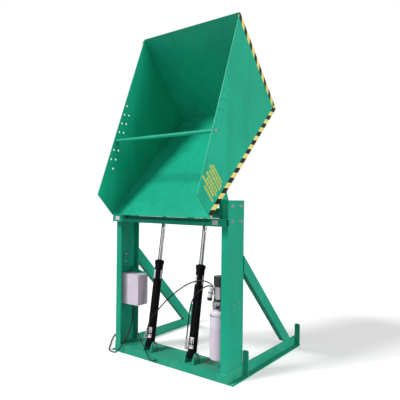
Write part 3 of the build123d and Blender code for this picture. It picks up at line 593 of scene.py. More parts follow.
def turned(surface: Surface, start: Point, direction: Point, profile: Profile, segments: int,
           flats: int = 0) -> None:
    """Adds a turned or hexagonal part: a profile carried round an axis.

    The radius at angle a and height h is the profile's radius, or, with flats, the smaller of it and
    flat / cos(a - nearest flat's middle), so that a hexagon keeps the chamfer of its profile.

    Args:
        surface: The surface to add to.
        start: The profile's zero height on the axis.
        direction: The axis.
        profile: Radius and height of each step, first and last on the axis for a closed part.
        segments: Points round the axis.
        flats: Number of flats, or 0 for a round part.
    """
    side, up, way = across_axes(direction)
    steps = np.asarray(profile, float)
    angles = np.linspace(0.0, 2 * np.pi, segments, endpoint=False)
    radius = np.repeat(steps[:, :1], segments, axis=1)
    if flats:
        sector = 2 * np.pi / flats
        off = (angles + sector / 2) % sector - sector / 2
        flat = steps[:, 0].max() * math.cos(sector / 2)
        radius = np.minimum(radius, flat / np.cos(off)[None, :])
    ring = np.cos(angles)[:, None] * side + np.sin(angles)[:, None] * up
    rows = np.asarray(start, float) + radius[..., None] * ring[None] + steps[:, 1, None, None] * way
    surface.grid(rows)


def weld(surface: Surface, start: Point, end: Point, facing: Point, size: float = Bead.PLAIN) -> None:
    """Adds a weld bead: a rounded section carried along a line, its radius rippled along the run.

    The radius is size x (1 + 0.10 sin(2 pi s / pitch)), shrinking to nothing at both ends.

    Args:
        surface: The surface to add to.
        start: One end of the seam.
        end: The other end.
        facing: The way the bead bulges.
        size: The bead's radius.
    """
    first, last = np.asarray(start, float), np.asarray(end, float)
    run = last - first
    length = float(np.linalg.norm(run))
    way = run / length
    out = np.asarray(facing, float)
    out = out - way * (out @ way)
    out = out / np.linalg.norm(out)
    side = np.cross(way, out)
    count = int(np.clip(length / 0.004, 12, 260))
    s = np.linspace(0.0, length, count)
    taper = np.sqrt(np.clip(np.minimum(s, length - s) / (2.0 * size), 0.0, 1.0))
    radius = size * (1.0 + 0.10 * np.sin(2 * np.pi * s / 0.0085)) * taper
    angles = np.linspace(0.0, 2 * np.pi, 10, endpoint=False)
    ring = np.cos(angles)[:, None] * out * 0.75 + np.sin(angles)[:, None] * side
    surface.grid(first + s[:, None, None] * way + radius[:, None, None] * ring[None])


def strip(surface: Surface, start: Point, end: Point, inward: Point, width: float, lift: float,
          phase: float = 0.0, thick: float = 0.0006) -> None:
    """Adds a flat strip of tape: a thin rectangle carried from one end to the other.

    Args:
        surface: The surface to add to.
        start: One end of the strip's outer edge.
        end: The other end.
        inward: The way from that edge across the strip.
        width: The strip's width.
        lift: Where its face lies along the plate's outward normal, +X or -X.
        phase: How far its pattern has run before its start.
        thick: The tape's thickness.
    """
    first, last = np.asarray(start, float), np.asarray(end, float)
    s = np.linspace(0.0, 1.0, 80)
    across = np.asarray(inward, float)
    across = across / np.linalg.norm(across)
    normal = np.array([math.copysign(1.0, lift), 0.0, 0.0])
    corners = np.array([[0.0, 0.0], [width, 0.0], [width, thick], [0.0, thick]])
    section = corners[:, :1] * across + corners[:, 1:] * normal
    line = first + s[:, None] * (last - first)
    rows = line[:, None] + section[None]
    length = float(np.linalg.norm(last - first))
    uv = np.stack(np.broadcast_arrays(s[:, None] * length + phase, corners[None, :, 0]), axis=-1)
    surface.bar(rows, uv)


def sheet_patch(surface: Surface, corner: Point, along: Point, up: Point, thick: float = 0.0005,
                bend: Callable[[np.ndarray], np.ndarray] | None = None) -> None:
    """Adds a thin closed sticker: a grid over two edges and its copy one thickness out.

    Args:
        surface: The surface to add to.
        corner: The sticker's first corner.
        along: Its first edge.
        up: Its second edge.
        thick: Its thickness.
        bend: A function that carries flat places onto a curved wall, or None.
    """
    a, b = np.asarray(along, float), np.asarray(up, float)
    out = np.cross(a, b)
    out = out / np.linalg.norm(out)
    round_trip = np.array([[0.0, 0.0], [1.0, 0.0], [1.0, 1.0], [0.0, 1.0]])
    s = np.linspace(0.0, 1.0, 9)
    edge = np.concatenate([round_trip[i] + s[:-1, None] * (round_trip[(i + 1) % 4] - round_trip[i])
                           for i in range(4)])
    shares = np.array([0.0, 1.0, 1.0, 0.0])
    heights = np.array([0.0, 0.0, thick, thick])
    middle = np.array([0.5, 0.5])
    places = middle + shares[:, None, None] * (edge[None] - middle)
    rows = np.asarray(corner, float) + places[..., :1] * a + places[..., 1:] * b
    rows = rows + heights[:, None, None] * out
    surface.grid(rows if bend is None else bend(rows))


# ---------------------------------------------------------------- surroundings

@dataclass
class Surroundings:
    """The pale floor, the soft daylight and the camera."""

    eye: tuple[float, float, float] = (2.6704, -3.7337, 1.5310)
    yaw: float = 0.6413
    pitch: float = -0.0024
    roll: float = 0.0108
    lens: float = 39.45
    ambient: float = 0.31
    floor_size: float = 60.0
    lamps: tuple = (("key_light", (-0.36, -0.62, 0.68), 2.7, 16.0),
                    ("front_light", (0.15, -0.97, 0.20), 0.35, 40.0),
                    ("side_light", (0.97, 0.02, 0.22), 1.9, 24.0))

    def build(self) -> None:
        """Makes the floor, the lights and the camera."""
        self.floor()
        self.daylight()
        for lamp in self.lamps:
            self.lamp(*lamp)
        self.camera()

    def floor(self) -> None:
        """A pale flat floor, duller to every ray but the camera's so that it throws little light up."""
        shop = Workshop("pale_floor")
        tone = shop.blend(shop.noise(0.8, 4.0).ramp(0.3, 0.7), (0.88, 0.88, 0.88), (0.92, 0.92, 0.92))
        shop.set(Base_Color=tone, Roughness=0.8 + 0.1 * shop.noise(6.0), Specular_IOR_Level=0.1,
                 Emission_Color=(1.0, 1.0, 1.0, 1.0), Emission_Strength=0.30)
        dull = shop.node("ShaderNodeBsdfDiffuse", {}, {"Color": (0.45, 0.45, 0.45)})[0]
        seen = shop.node("ShaderNodeLightPath", {}, {})["Is Camera Ray"]
        pale = Wire(shop, shop.shader.outputs[0])
        choice = shop.node("ShaderNodeMixShader", {}, {0: seen, 1: dull, 2: pale})[0]
        shop.tree.links.new(choice.socket, shop.tree.nodes["Material Output"].inputs["Surface"])
        half = self.floor_size / 2
        mesh = bpy.data.meshes.new("floor")
        mesh.from_pydata([(-half, -half, 0.0), (half, -half, 0.0), (half, half, 0.0), (-half, half, 0.0)], [],
                         [(0, 1, 2, 3)])
        made = bpy.data.objects.new("floor", mesh)
        bpy.context.scene.collection.objects.link(made)
        made.data.materials.append(shop.material)

    def daylight(self) -> None:
        """A white sky that lights softly and looks white."""
        world = bpy.data.worlds.new("white_studio")
        world.use_nodes = True
        tree = world.node_tree
        sky = tree.nodes["Background"]
        sky.inputs["Color"].default_value = (1.0, 1.0, 1.0, 1.0)
        sky.inputs["Strength"].default_value = self.ambient
        seen = tree.nodes.new("ShaderNodeBackground")
        seen.inputs["Color"].default_value = (1.0, 1.0, 1.0, 1.0)
        choice = tree.nodes.new("ShaderNodeMixShader")
        ray = tree.nodes.new("ShaderNodeLightPath")
        tree.links.new(ray.outputs["Is Camera Ray"], choice.inputs[0])
        tree.links.new(sky.outputs[0], choice.inputs[1])
        tree.links.new(seen.outputs[0], choice.inputs[2])
        tree.links.new(choice.outputs[0], tree.nodes["World Output"].inputs[0])
        bpy.context.scene.world = world
        bpy.context.scene.view_settings.view_transform = "Standard"

    def lamp(self, name: str, towards: Point, strength: float, softness: float) -> None:
        """A distant soft light.

        Args:
            name: The light's name.
            towards: The direction from the object to the light.
            strength: Its strength.
            softness: The angle that it fills, in degrees.
        """
        data = bpy.data.lights.new(name, "SUN")
        data.energy = strength
        data.angle = math.radians(softness)
        made = bpy.data.objects.new(name, data)
        made.rotation_euler = Vector(towards).to_track_quat("Z", "Y").to_euler()
        bpy.context.scene.collection.objects.link(made)

    def camera(self) -> None:
        """The camera, from its place, its turn and its lens."""
        ahead = Vector((-math.sin(self.yaw) * math.cos(self.pitch), math.cos(self.yaw) * math.cos(self.pitch),
                        -math.sin(self.pitch)))
        level = Vector((math.cos(self.yaw), math.sin(self.yaw), 0.0))
        right = math.cos(self.roll) * level + math.sin(self.roll) * level.cross(ahead)
        turn = Matrix((right, right.cross(ahead), -ahead)).transposed()
        data = bpy.data.cameras.new("camera")
        data.lens = self.lens
        data.clip_end = 200.0
        made = bpy.data.objects.new("camera", data)
        made.matrix_world = Matrix.Translation(self.eye) @ turn.to_4x4()
        bpy.context.scene.collection.objects.link(made)
        bpy.context.scene.camera = made


# ---------------------------------------------------------------- hoses and cables

class Lay(Enum):
    HANGING = "hanging"
    COILED = "coiled"


@dataclass
class Cord:
    """A round cord on one smooth curve through its given points."""

    name: str
    node: str
    route: list[tuple[float, float, float]]
    diameter: float
    length: float
    finish: Finish
    lay: Lay = Lay.HANGING
    far_end: str = "object"
    stiffness: str = "medium"

    def build(self, *on_it: bpy.types.Object, also: Sequence[str] = ()) -> bpy.types.Object:
        """Args:
            on_it: The pieces that go with the cord; not used.
            also: Further CAD nodes that the curve stands for.

        Returns:
            The curve.
        """
        curve = bpy.data.curves.new(self.name, "CURVE")
        curve.dimensions = "3D"
        curve.bevel_depth = self.diameter / 2
        curve.bevel_resolution = 5
        curve.resolution_u = 8
        curve.use_fill_caps = True
        line = curve.splines.new("NURBS")
        line.points.add(len(self.route) - 1)
        flat = np.ones((len(self.route), 4))
        flat[:, :3] = self.route
        line.points.foreach_set("co", flat.astype(np.float32).ravel())
        line.order_u = 3
        line.use_endpoint_u = True
        line.use_smooth = True
        made = bpy.data.objects.new(self.name, curve)
        bpy.context.scene.collection.objects.link(made)
        made.data.materials.append(self.finish.material())
        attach(made, "base")
        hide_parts(self.node, *also)
        LOG.info("%s: %.3f m of cord", self.name, self.length)
        return made


@dataclass
class Cords:
    """Both pressure hoses, the supply lead with its coil and plug, and the control cable.

    Routes are written in millimetres from the base's front edge and moved by half the base's depth.
    """

    front: float = -0.662
    hose: float = 0.012
    lead: float = 0.012
    cable: float = 0.008
    coil_centre: tuple[float, float] = (-1000.0, 406.0)
    turn_radii: tuple[float, ...] = (78.0, 66.5, 55.0)
    layer_heights: tuple[float, float] = (7.0, 18.8)
    coil_start: float = 219.0
    tail_step: tuple[float, float, float] = (-14.0, 66.0, 41.0)
    hose_left: tuple = (
        (455, 128, 662), (454, 130, 708), (444, 134, 752), (420, 134, 787), (382, 126, 806), (338, 112, 815),
        (291, 98, 810), (250, 88, 799), (212, 80, 782), (168, 75, 758), (124, 70, 729), (80, 65, 698),
        (36, 60, 664), (-10, 55, 624), (-55, 50, 581), (-104, 46, 530), (-150, 42, 478), (-190, 38, 436),
        (-219, 36, 397), (-240, 35, 361), (-256, 35, 325), (-268, 34.5, 287), (-279.6, 30.8, 250))
    hose_right: tuple = (
        (455, 150, 662), (453, 152, 708), (440, 154, 746), (410, 148, 770), (372, 135, 771), (334, 118, 748),
        (298, 98, 712), (266, 82, 668), (244, 71, 622), (233, 64, 574), (227, 55, 500), (223, 46, 410),
        (219, 38, 325), (216, 31.1, 252))
    supply: tuple = (
        (-533, 100, 456), (-533, 99, 396), (-531, 94, 336), (-532, 82, 278), (-536, 62, 222), (-543, 38, 170),
        (-554, 10, 122), (-566, -18, 82), (-582, -38, 42), (-612, -50, 12), (-652, -54, 7), (-698, -48, 7),
        (-738, -30, 7), (-776, 6, 7), (-822, 58, 7), (-872, 114, 7), (-926, 172, 7), (-980, 232, 7),
        (-1027, 292, 7), (-1067, 351, 7))
    control: tuple = (
        (-500, 128, 456), (-500, 127, 410), (-498, 124, 362), (-490, 116, 314), (-474, 102, 268),
        (-446, 82, 228), (-408, 58, 196), (-364, 32, 172), (-318, 8, 154), (-274, -10, 134), (-240, -20, 106),
        (-215, -26, 76), (-192, -32, 48), (-162, -36, 32), (-134, -30, 28), (-121, -17, 29), (-120, -4, 30))

    def metres(self, route: Sequence[Point]) -> list[tuple[float, float, float]]:
        """A route in metres in the frame's axes."""
        return [(x / 1000, y / 1000 + self.front, z / 1000) for x, y, z in route]

    def coil(self) -> list[tuple[float, float, float]]:
        """The coil's turns as further points, clockwise from above, up to the plug's neck.

        The radius steps in over the lower layer's three turns and out again over the upper layer's, and
        the last part of a turn rises to the plug.
        """
        per_turn, start = 16, math.radians(self.coil_start)
        lower, upper = self.layer_heights
        turns = np.arange(1, 5 * per_turn + 2) / per_turn
        radii = np.array([*self.turn_radii, *reversed(self.turn_radii)])
        radius = np.interp(turns - 0.5, np.arange(6), radii)
        height = lower + (upper - lower) * np.clip((turns - 2.7) / 0.6, 0.0, 1.0)
        angle = start - 2 * np.pi * turns
        rows = np.stack([radius, angle, height], axis=1)
        rise = np.radians([175.0, 154.0, 134.0, 116.0])
        lifted = np.stack([np.linspace(75.0, 67.0, 4), rise, np.linspace(23.0, 39.0, 4)], axis=1)
        rows = np.concatenate([rows, lifted])
        x = self.coil_centre[0] + rows[:, 0] * np.cos(rows[:, 1])
        y = self.coil_centre[1] + rows[:, 0] * np.sin(rows[:, 1])
        return [*(tuple(row) for row in np.stack([x, y, rows[:, 2]], axis=1).tolist()), self.tail()]

    def tail(self) -> tuple[float, float, float]:
        """Where the lead enters its plug, on top of the coil."""
        across, deep, high = self.tail_step
        return self.coil_centre[0] + across, self.coil_centre[1] + deep, high

    def ferrules(self, name: str, route: Sequence[Point]) -> bpy.types.Object:
        """A hexagon nut and a crimped sleeve at both ends of one hose."""
        made = Surface()
        sleeve = solid((0.0088, 0.0), (0.0088, 0.010), (0.0080, 0.012), (0.0088, 0.014), (0.0088, 0.020),
                       (0.0080, 0.022), (0.0088, 0.024), (0.0088, 0.030), (0.0072, 0.033))
        nut = solid((0.0112, -0.004), (0.0124, -0.002), (0.0124, 0.008), (0.0112, 0.010))
        points = [np.array(p) for p in self.metres(route)]
        for end, after in ((points[0], points[1]), (points[-1], points[-2])):
            turned(made, end, after - end, sleeve, 24)
            turned(made, end, after - end, nut, 36, 6)
        return made.piece("ferrules_" + name, Finish.ZINC, "base", Slot.STEEL, 30.0)

    def plug(self) -> bpy.types.Object:
        """The supply plug: a ribbed grip, a face and three round pins."""
        made = Surface()
        [(x, y, z)] = self.metres([self.tail()])
        forward = (1.0, 0.0, 0.0)
        ribs = [(0.0092 + 0.0012 * (i % 2), 0.002 + 0.0032 * i) for i in range(6)]
        turned(made, (x, y, z), forward, solid((0.0080, 0.0), *ribs, (0.0128, 0.022), (0.0155, 0.028),
                                               (0.0155, 0.064), (0.0146, 0.068)), 36)
        pin = [(0.0, 0.0), (0.0024, 0.0), (0.0024, 0.017), (0.0012, 0.0188), (0.0, 0.019)]
        for angle in np.radians([90.0, 210.0, 330.0]):
            place = (x + 0.067, y + 0.009 * math.cos(angle), z + 0.009 * math.sin(angle))
            turned(made, place, forward, pin, 16)
        grip = made.piece("supply_plug_grip", Finish.BLACK, "base", Slot.PLASTIC, 30.0)
        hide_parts("supply_plug")
        return grip

    def build(self) -> None:
        """Makes every cord."""
        for side, route, length in (("left", self.hose_left, 1.101), ("right", self.hose_right, 0.746)):
            Cord("pressure_hose_" + side, "hose_" + side, self.metres(route), self.hose, length,
                 Finish.HOSE).build(self.ferrules(side, route))
        plug = self.plug()
        route = self.metres([*self.supply, *self.coil()])
        Cord("supply_cable", "supply_lead", route, self.lead, 3.50, Finish.CABLE, Lay.COILED,
             "plug").build(plug, also=("supply_coil",))
        Cord("control_lead", "control_cable", self.metres(self.control), self.cable, 0.678,
             Finish.CABLE).build()


# ---------------------------------------------------------------- the machine

@dataclass
class BaseFrame:
    """Front channel, rails, posts, braces, stop bar and bearings."""

    front: float = -0.662
    post_face: float = 0.6735
    post_depth: float = 0.254
    post_web: float = 0.0065
    flange: float = 0.066
    flange_wall: float = 0.011
    sill_top: float = 0.076
    rail_top: float = 0.102
    rail_gap: float = 0.0032
    pad_inner: float = 0.640
    pad_middle: float = 1.350
    bar_end: float = 0.522
    bar_depth: float = 0.048
    bar_top: float = 1.3525
    brace_cut: float = 0.144
    ear_faces: tuple[float, float] = (0.206, 0.3065)
    tab_wall: float = 0.008
    tab_foot: tuple[float, float, float] = (0.681, 0.733, 0.0068)
    tab_root: tuple[float, float, float] = (0.680, 0.010, 0.100)
    bolt_rows: tuple[float, float] = (-0.600, -0.470)
    bolt_levels: tuple[float, float] = (1.360, 1.490)
    nipple: tuple[float, float, float] = (0.634, -0.5735, 1.3865)
    pad_label: tuple[float, float] = (0.052, 0.036)
    pad_label_middles: tuple[float, float] = (-0.615, 0.573)

    def build(self) -> None:
        """Dresses the nodes and adds welds, washers, labels and grease nipples."""
        dress(Finish.FRAME, "front_sill", "side_rail_left", "side_rail_right", "post_left", "post_right",
              "brace_left", "brace_right", "stop_bar", "stop_pads", "guard_tabs", "ram_ears", "unit_brackets")
        dress(Finish.RUBBER, "sill_bumper")
        dress(Finish.ZINC, "ram_base_pins", "bearing_bolts", "mounting_bolts")
        dress(Finish.CAST, "bearing_housings")
        dress(Finish.CHROME, "bearing_inserts")
        self.welds()
        self.washers()
        self.labels()
        self.grease_nipples()

    def welds(self) -> None:
        """Beads at the posts, the braces, the stop bar, the guard tabs and the ram ears."""
        made = Surface()
        back = self.front + self.post_depth
        for side in BOTH:
            self.post_welds(made, side, back)
            self.brace_welds(made, side, back)
            self.bar_welds(made, side)
            self.tab_welds(made, side, back)
        low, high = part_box("ram_ears")
        for x in self.ear_faces:
            for side in BOTH:
                weld(made, (side * x, low.y, low.z), (side * x, high.y, low.z), UP)
        made.piece("base_welds", Finish.BEAD, "base", Slot.FRAME)

    def post_welds(self, made: Surface, side: float, back: float) -> None:
        """Beads round a post's foot and along the rail beside it."""
        front, top, rail = self.front, self.sill_top, self.rail_top
        face, inner = side * self.post_face, side * (self.post_face - self.flange)
        web, wall = side * (self.post_face - self.post_web), self.flange_wall
        weld(made, (face, front, top), (face, back, top), (side, 0.0, 0.6), Bead.HEAVY)
        weld(made, (inner, front, top), (face, front, top), (0.0, -1.0, 1.0), Bead.SMALL)
        weld(made, (inner, back, top), (face, back, top), (0.0, 1.0, 1.0), Bead.SMALL)
        weld(made, (web, front + wall, top), (web, back - wall, top), (-side, 0.0, 1.0))
        beside = face + side * self.rail_gap
        weld(made, (beside, back, rail), (beside, front, rail), UP, Bead.FINE)

    def brace_welds(self, made: Surface, side: float, back: float) -> None:
        """Beads round a brace's top and foot."""
        low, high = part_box("brace_right")
        cut, middle = self.brace_cut, (low.x + high.x) / 2
        inner, outer = side * low.x, side * high.x
        weld(made, (inner, back, high.z), (outer, back, high.z), (0.0, 1.0, 1.0))
        weld(made, (inner, high.y, low.z), (outer, high.y, low.z), (0.0, 1.0, 1.0))
        for x in (inner, outer):
            out = math.copysign(1.0, abs(x) - middle) * side
            weld(made, (x, back, high.z), (x, back, high.z - cut), (out, 1.0, 0.0), Bead.SMALL)
            weld(made, (x, high.y - cut, low.z), (x, high.y, low.z), (out, 0.0, 1.0), Bead.SMALL)

    def bar_welds(self, made: Surface, side: float) -> None:
        """Beads over and under an end block, and between it and the stop bar."""
        low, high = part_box("stop_pads")
        front = self.front
        for z in (low.z, high.z):
            weld(made, (side * self.pad_inner, front, z), (side * self.post_face, front, z),
                 (0.0, -1.0, z - self.pad_middle), Bead.SMALL)
        end = side * self.bar_end
        weld(made, (end, front - self.bar_depth, self.bar_top), (end, front, self.bar_top),
             (-side, 0.0, 1.0), Bead.FINE)

    def tab_welds(self, made: Surface, side: float, back: float) -> None:
        """Beads under and beside both guard tabs of one rail."""
        _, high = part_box("guard_tabs")
        near, far, floor = self.tab_foot
        root, bottom, top = self.tab_root
        for y in (back - self.tab_wall, high.y - self.tab_wall):
            weld(made, (side * near, y, floor), (side * far, y, floor), (0.0, -1.0, 1.0), Bead.FINE)
            weld(made, (side * root, y, bottom), (side * root, y, top), (side, -1.0, 0.0), Bead.FINE)

    def washers(self) -> None:
        """Turned washers under the bearing bolts' nuts, on the posts' outer faces."""
        made = Surface()
        washer = solid((0.0158, 0.0), (0.0165, 0.0006), (0.0165, 0.0022), (0.0158, 0.0028))
        crown = solid((0.0064, 0.0092), (0.0078, 0.0104), (0.0078, 0.0126), (0.0064, 0.0140))
        for side, y, z in product(BOTH, self.bolt_rows, self.bolt_levels):
            place = (side * self.post_face, y, z)
            turned(made, place, (side, 0.0, 0.0), washer, 40)
            turned(made, place, (side, 0.0, 0.0), crown, 24)
        made.piece("bearing_washers", Finish.ZINC, "base", Slot.STEEL, 30.0)

    def labels(self) -> None:
        """A plain two-tone sticker on each of the stop bar's end blocks."""
        low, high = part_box("stop_pads")
        wide, tall = self.pad_label
        white, pink = Surface(), Surface()
        face = low.y - 0.0002
        bars = ((0.12, 0.16, 0.8), (0.44, 0.12, 0.8), (0.68, 0.16, 0.45))
        for middle in self.pad_label_middles:
            x, z = middle - wide / 2, (low.z + high.z) / 2 - tall / 2
            sheet_patch(white, (x, face, z), (wide, 0.0, 0.0), (0.0, 0.0, tall))
            for level, high_share, wide_share in bars:
                sheet_patch(pink, (x + wide * 0.1, face - 0.0005, z + tall * level),
                            (wide * wide_share, 0.0, 0.0), (0.0, 0.0, tall * high_share), 0.0002)
        white.piece("pad_labels", Finish.WHITE, "base", Slot.FRAME)
        pink.piece("pad_label_bars", Finish.PINK, "base", Slot.FRAME)

    def grease_nipples(self) -> None:
        """A nipple on each bearing's boss, pointing forward and down at 45 degrees."""
        made = Surface()
        profile = solid((0.0045, 0.0), (0.0045, 0.004), (0.0026, 0.006), (0.0026, 0.009), (0.0036, 0.011),
                        (0.0036, 0.013), (0.0018, 0.0155))
        x, y, z = self.nipple
        for side in BOTH:
            turned(made, (side * x, y, z), (0.0, -1.0, -1.0), profile, 20)
        made.piece("grease_nipples", Finish.ZINC, "base", Slot.STEEL)


@dataclass
class Bucket:
    """The tipping bucket: a frame of its own, tilted at the dump angle.

    Its places are written as x, the distance u up the back plate and the distance v out from it.
    """

    lip: tuple[float, float] = (-0.79979, 1.38825)
    tilt: float = math.radians(44.0)
    back_length: float = 1.585
    platform_depth: float = 1.036
    half: float = 0.592
    inner: float = 0.586
    wall: float = 0.006
    bead_margin: float = 0.004
    channel_faces: tuple[float, float] = (0.307, 0.383)
    channel_ends: tuple[float, float] = (0.032, 1.513)
    rib_middles: tuple[float, ...] = (-0.4, 0.0, 0.4)
    rib_half: float = 0.030
    rib_ends: tuple[float, float] = (0.052, 0.984)
    ear_faces: tuple[float, float] = (0.206, 0.304)
    ear_ends: tuple[float, float] = (0.485, 0.621)
    tape_width: float = 0.050
    tape_edge: float = 0.002
    panel_corner: tuple[float, float] = (0.330, 0.085)
    panel_size: tuple[float, float] = (0.240, 0.250)
    panel_row: float = 0.022
    panel_gap: float = 0.022
    panel_rows: tuple[tuple[float, float, float], ...] = (
        (0.00, 0.10, 0.90), (0.13, 0.0, 1.0), (0.26, 0.0, 0.88), (0.42, 0.05, 0.95), (0.55, 0.0, 0.80),
        (0.68, 0.10, 1.0), (0.84, 0.0, 0.70))

    def at(self, x: float, u: float, v: float) -> np.ndarray:
        """A place from its distance up the back plate, u, and out from it, v."""
        y = self.lip[0] + u * math.cos(self.tilt) - v * math.sin(self.tilt)
        z = self.lip[1] + u * math.sin(self.tilt) + v * math.cos(self.tilt)
        return np.array([x, y, z])

    def way(self, x: float, u: float, v: float) -> np.ndarray:
        """A direction in the same terms."""
        return self.at(x, u, v) - self.at(0.0, 0.0, 0.0)

    def build(self) -> None:
        """Dresses the nodes and adds welds, tape and printed panels."""
        dress(Finish.BUCKET, "side_plate_left", "side_plate_right", "back_plate", "platform_plate",
              "pivot_lugs", "pivot_tube", "back_channels", "platform_ribs", "rod_ears", "retaining_bar")
        dress(Finish.ZINC, "rod_pins", "bar_bolts")
        dress(Finish.CHROME, "stub_shafts")
        self.welds()
        self.tapes()
        self.caution_panels()

    def seam(self, made: Surface, start: Point, end: Point, facing: Point, size: float = Bead.PLAIN) -> None:
        """A bead between two places, all in the bucket's own terms."""
        weld(made, self.at(*start), self.at(*end), self.way(*facing), size)

    def welds(self) -> None:
        """Beads in the inner corners, along the channels and the ribs, and at the rods' ears."""
        made = Surface()
        wall, deep, corner = self.wall, self.platform_depth, self.back_length - self.wall
        margin, (low, high) = self.bead_margin, self.channel_ends
        for side in BOTH:
            x = side * self.inner
            self.seam(made, (x, margin, wall), (x, corner, wall), (-side, 0, 1), Bead.CORNER)
            self.seam(made, (x, corner, wall), (x, corner, deep - margin), (-side, -1, 0), Bead.CORNER)
            for face, out in zip(self.channel_faces, BOTH):
                self.seam(made, (side * face, low, 0), (side * face, high, 0), (out * side, 0, -1),
                          Bead.SMALL)
            for face in self.ear_faces:
                start, end = self.ear_ends
                self.seam(made, (side * face, start, 0), (side * face, end, 0), (0, 0, -1))
        self.seam(made, (-self.inner, corner, wall), (self.inner, corner, wall), (0, -1, 1), Bead.CORNER)
        near, far = self.rib_ends
        for middle, out in product(self.rib_middles, BOTH):
            x = middle + out * self.rib_half
            self.seam(made, (x, self.back_length, near), (x, self.back_length, far), (out, 1, 0), Bead.SMALL)
        made.piece("bucket_welds", Finish.BEAD, "bucket", Slot.BUCKET)

    def tapes(self) -> None:
        """Two strips of hazard tape on each side plate: down the platform's edge and down the back."""
        edge, wide = self.tape_edge, self.tape_width
        end = self.back_length - edge
        for name, side in SIDES:
            made = Surface()
            x = side * (self.half + 0.0001)
            strip(made, self.at(x, end, self.platform_depth - 0.006), self.at(x, end, wide + edge),
                  self.way(0, -1, 0), wide, side, wide / 2)
            strip(made, self.at(x, end, edge), self.at(x, 0.006, edge), self.way(0, 0, 1), wide, side)
            made.piece("hazard_tape_" + name, Finish.TAPE, "bucket", Slot.BUCKET)

    def caution_panels(self) -> None:
        """Rows of plain yellow bars in place of a printed notice, on each side plate."""
        (top, near), (tall, wide) = self.panel_corner, self.panel_size
        for name, side in SIDES:
            made = Surface()
            x = side * (self.half + 0.0002)
            for level, first, last in self.panel_rows:
                cuts = np.linspace(first, last, 7)
                for a, b in zip(cuts[:-1], cuts[1:] - self.panel_gap):
                    along, up = self.way(0, 0, wide * (b - a)), self.way(0, -self.panel_row, 0)
                    pair = (along, up) if side < 0 else (up, along)
                    sheet_patch(made, self.at(x, top - tall * level, near + wide * a), *pair, 0.0003)
            made.piece("caution_bars_" + name, Finish.YELLOW, "bucket", Slot.BUCKET)


@dataclass
class Ram:
    """One hydraulic ram, leaning back from its pin at the base."""

    name: str
    x: float
    pin: tuple[float, float] = (-0.597, 0.130)
    lean: float = math.radians(8.72895)
    radius: float = 0.041
    gland_top: float = 0.819
    base_seam: float = 0.112
    gland_seam: float = 0.7995
    labels: tuple[tuple[float, float, float, float], ...] = (
        (-0.072, 0.072, 0.036, 0.100), (-0.012, 0.640, 0.026, 0.085), (-0.096, 0.640, 0.030, 0.085))
    label_bars: tuple[float, ...] = (0.15, 0.34, 0.62, 0.80)

    def at(self, side: float, deep: float, high: float) -> np.ndarray:
        """A place from the ram's own axes: across, back, and up the rod."""
        y = self.pin[0] + deep * math.cos(self.lean) + high * math.sin(self.lean)
        z = self.pin[1] - deep * math.sin(self.lean) + high * math.cos(self.lean)
        return np.stack(np.broadcast_arrays(self.x + side, y, z), axis=-1)

    def wrapped(self, rows: np.ndarray) -> np.ndarray:
        """Carries flat places (arc length, lift, height) onto the barrel.

        Arc length s gives the angle s / radius from the +X side towards the back. A negative lift stands
        off the barrel.
        """
        angle = rows[..., 0] / self.radius
        reach = self.radius + 0.0002 - rows[..., 1]
        return self.at(reach * np.cos(angle), reach * np.sin(angle), rows[..., 2])

    def build(self) -> None:
        """Dresses the nodes and adds the labels, the wiper and the weld rings."""
        tag = "_" + self.name
        dress(Finish.BARREL, "barrel" + tag, "gland" + tag)
        dress(Finish.CHROME, "rod" + tag)
        dress(Finish.ZINC, "port_fitting" + tag, "piston" + tag)
        self.stickers("ram_barrel" + tag, tag)
        self.collars("ram_barrel" + tag, tag)

    def stickers(self, body: str, tag: str) -> None:
        """White labels on the barrel with plain grey bars in place of print."""
        labels, bars = Surface(), Surface()
        for arc, high, wide, tall in self.labels:
            sheet_patch(labels, (arc, 0.0, high), (wide, 0.0, 0.0), (0.0, 0.0, tall), bend=self.wrapped)
            for share in self.label_bars:
                sheet_patch(bars, (arc + wide * 0.2, -0.0004, high + tall * share), (wide * 0.6, 0.0, 0.0),
                            (0.0, 0.0, tall * 0.07), 0.0002, self.wrapped)
        labels.piece("barrel_labels" + tag, Finish.WHITE, body, Slot.BLACK_RAM, 60.0)
        bars.piece("barrel_label_bars" + tag, Finish.GREY, body, Slot.BLACK_RAM, 60.0)

    def collars(self, body: str, tag: str) -> None:
        """The wiper over the gland, the rolled weld at the barrel's base, and the gland's seam."""
        axis, foot = self.at(0, 0, 1.0) - self.at(0, 0, 0.0), self.at(0, 0, 0)
        wiper = Surface()
        turned(wiper, self.at(0, 0, self.gland_top), axis,
               [(0.0206, -0.001), (0.0290, -0.001), (0.0290, 0.0025), (0.0262, 0.0055), (0.0222, 0.0070),
                (0.0206, 0.0058), (0.0206, -0.001)], 48)
        wiper.piece("rod_wiper" + tag, Finish.RUBBER, body, Slot.RUBBER)
        ring = Surface()
        angles = np.linspace(0.0, 2 * np.pi, 12, endpoint=False)
        for radius, height, wide, tall in ((self.radius, self.base_seam, 0.0026, 0.005),
                                           (self.radius + 0.0048, self.gland_seam, 0.0016, 0.0016)):
            section = [(radius + wide * math.cos(a), height + tall * math.sin(a)) for a in angles]
            turned(ring, foot, axis, [*section, section[0]], 64)
        ring.piece("barrel_rings" + tag, Finish.BARREL, body, Slot.BLACK_RAM)


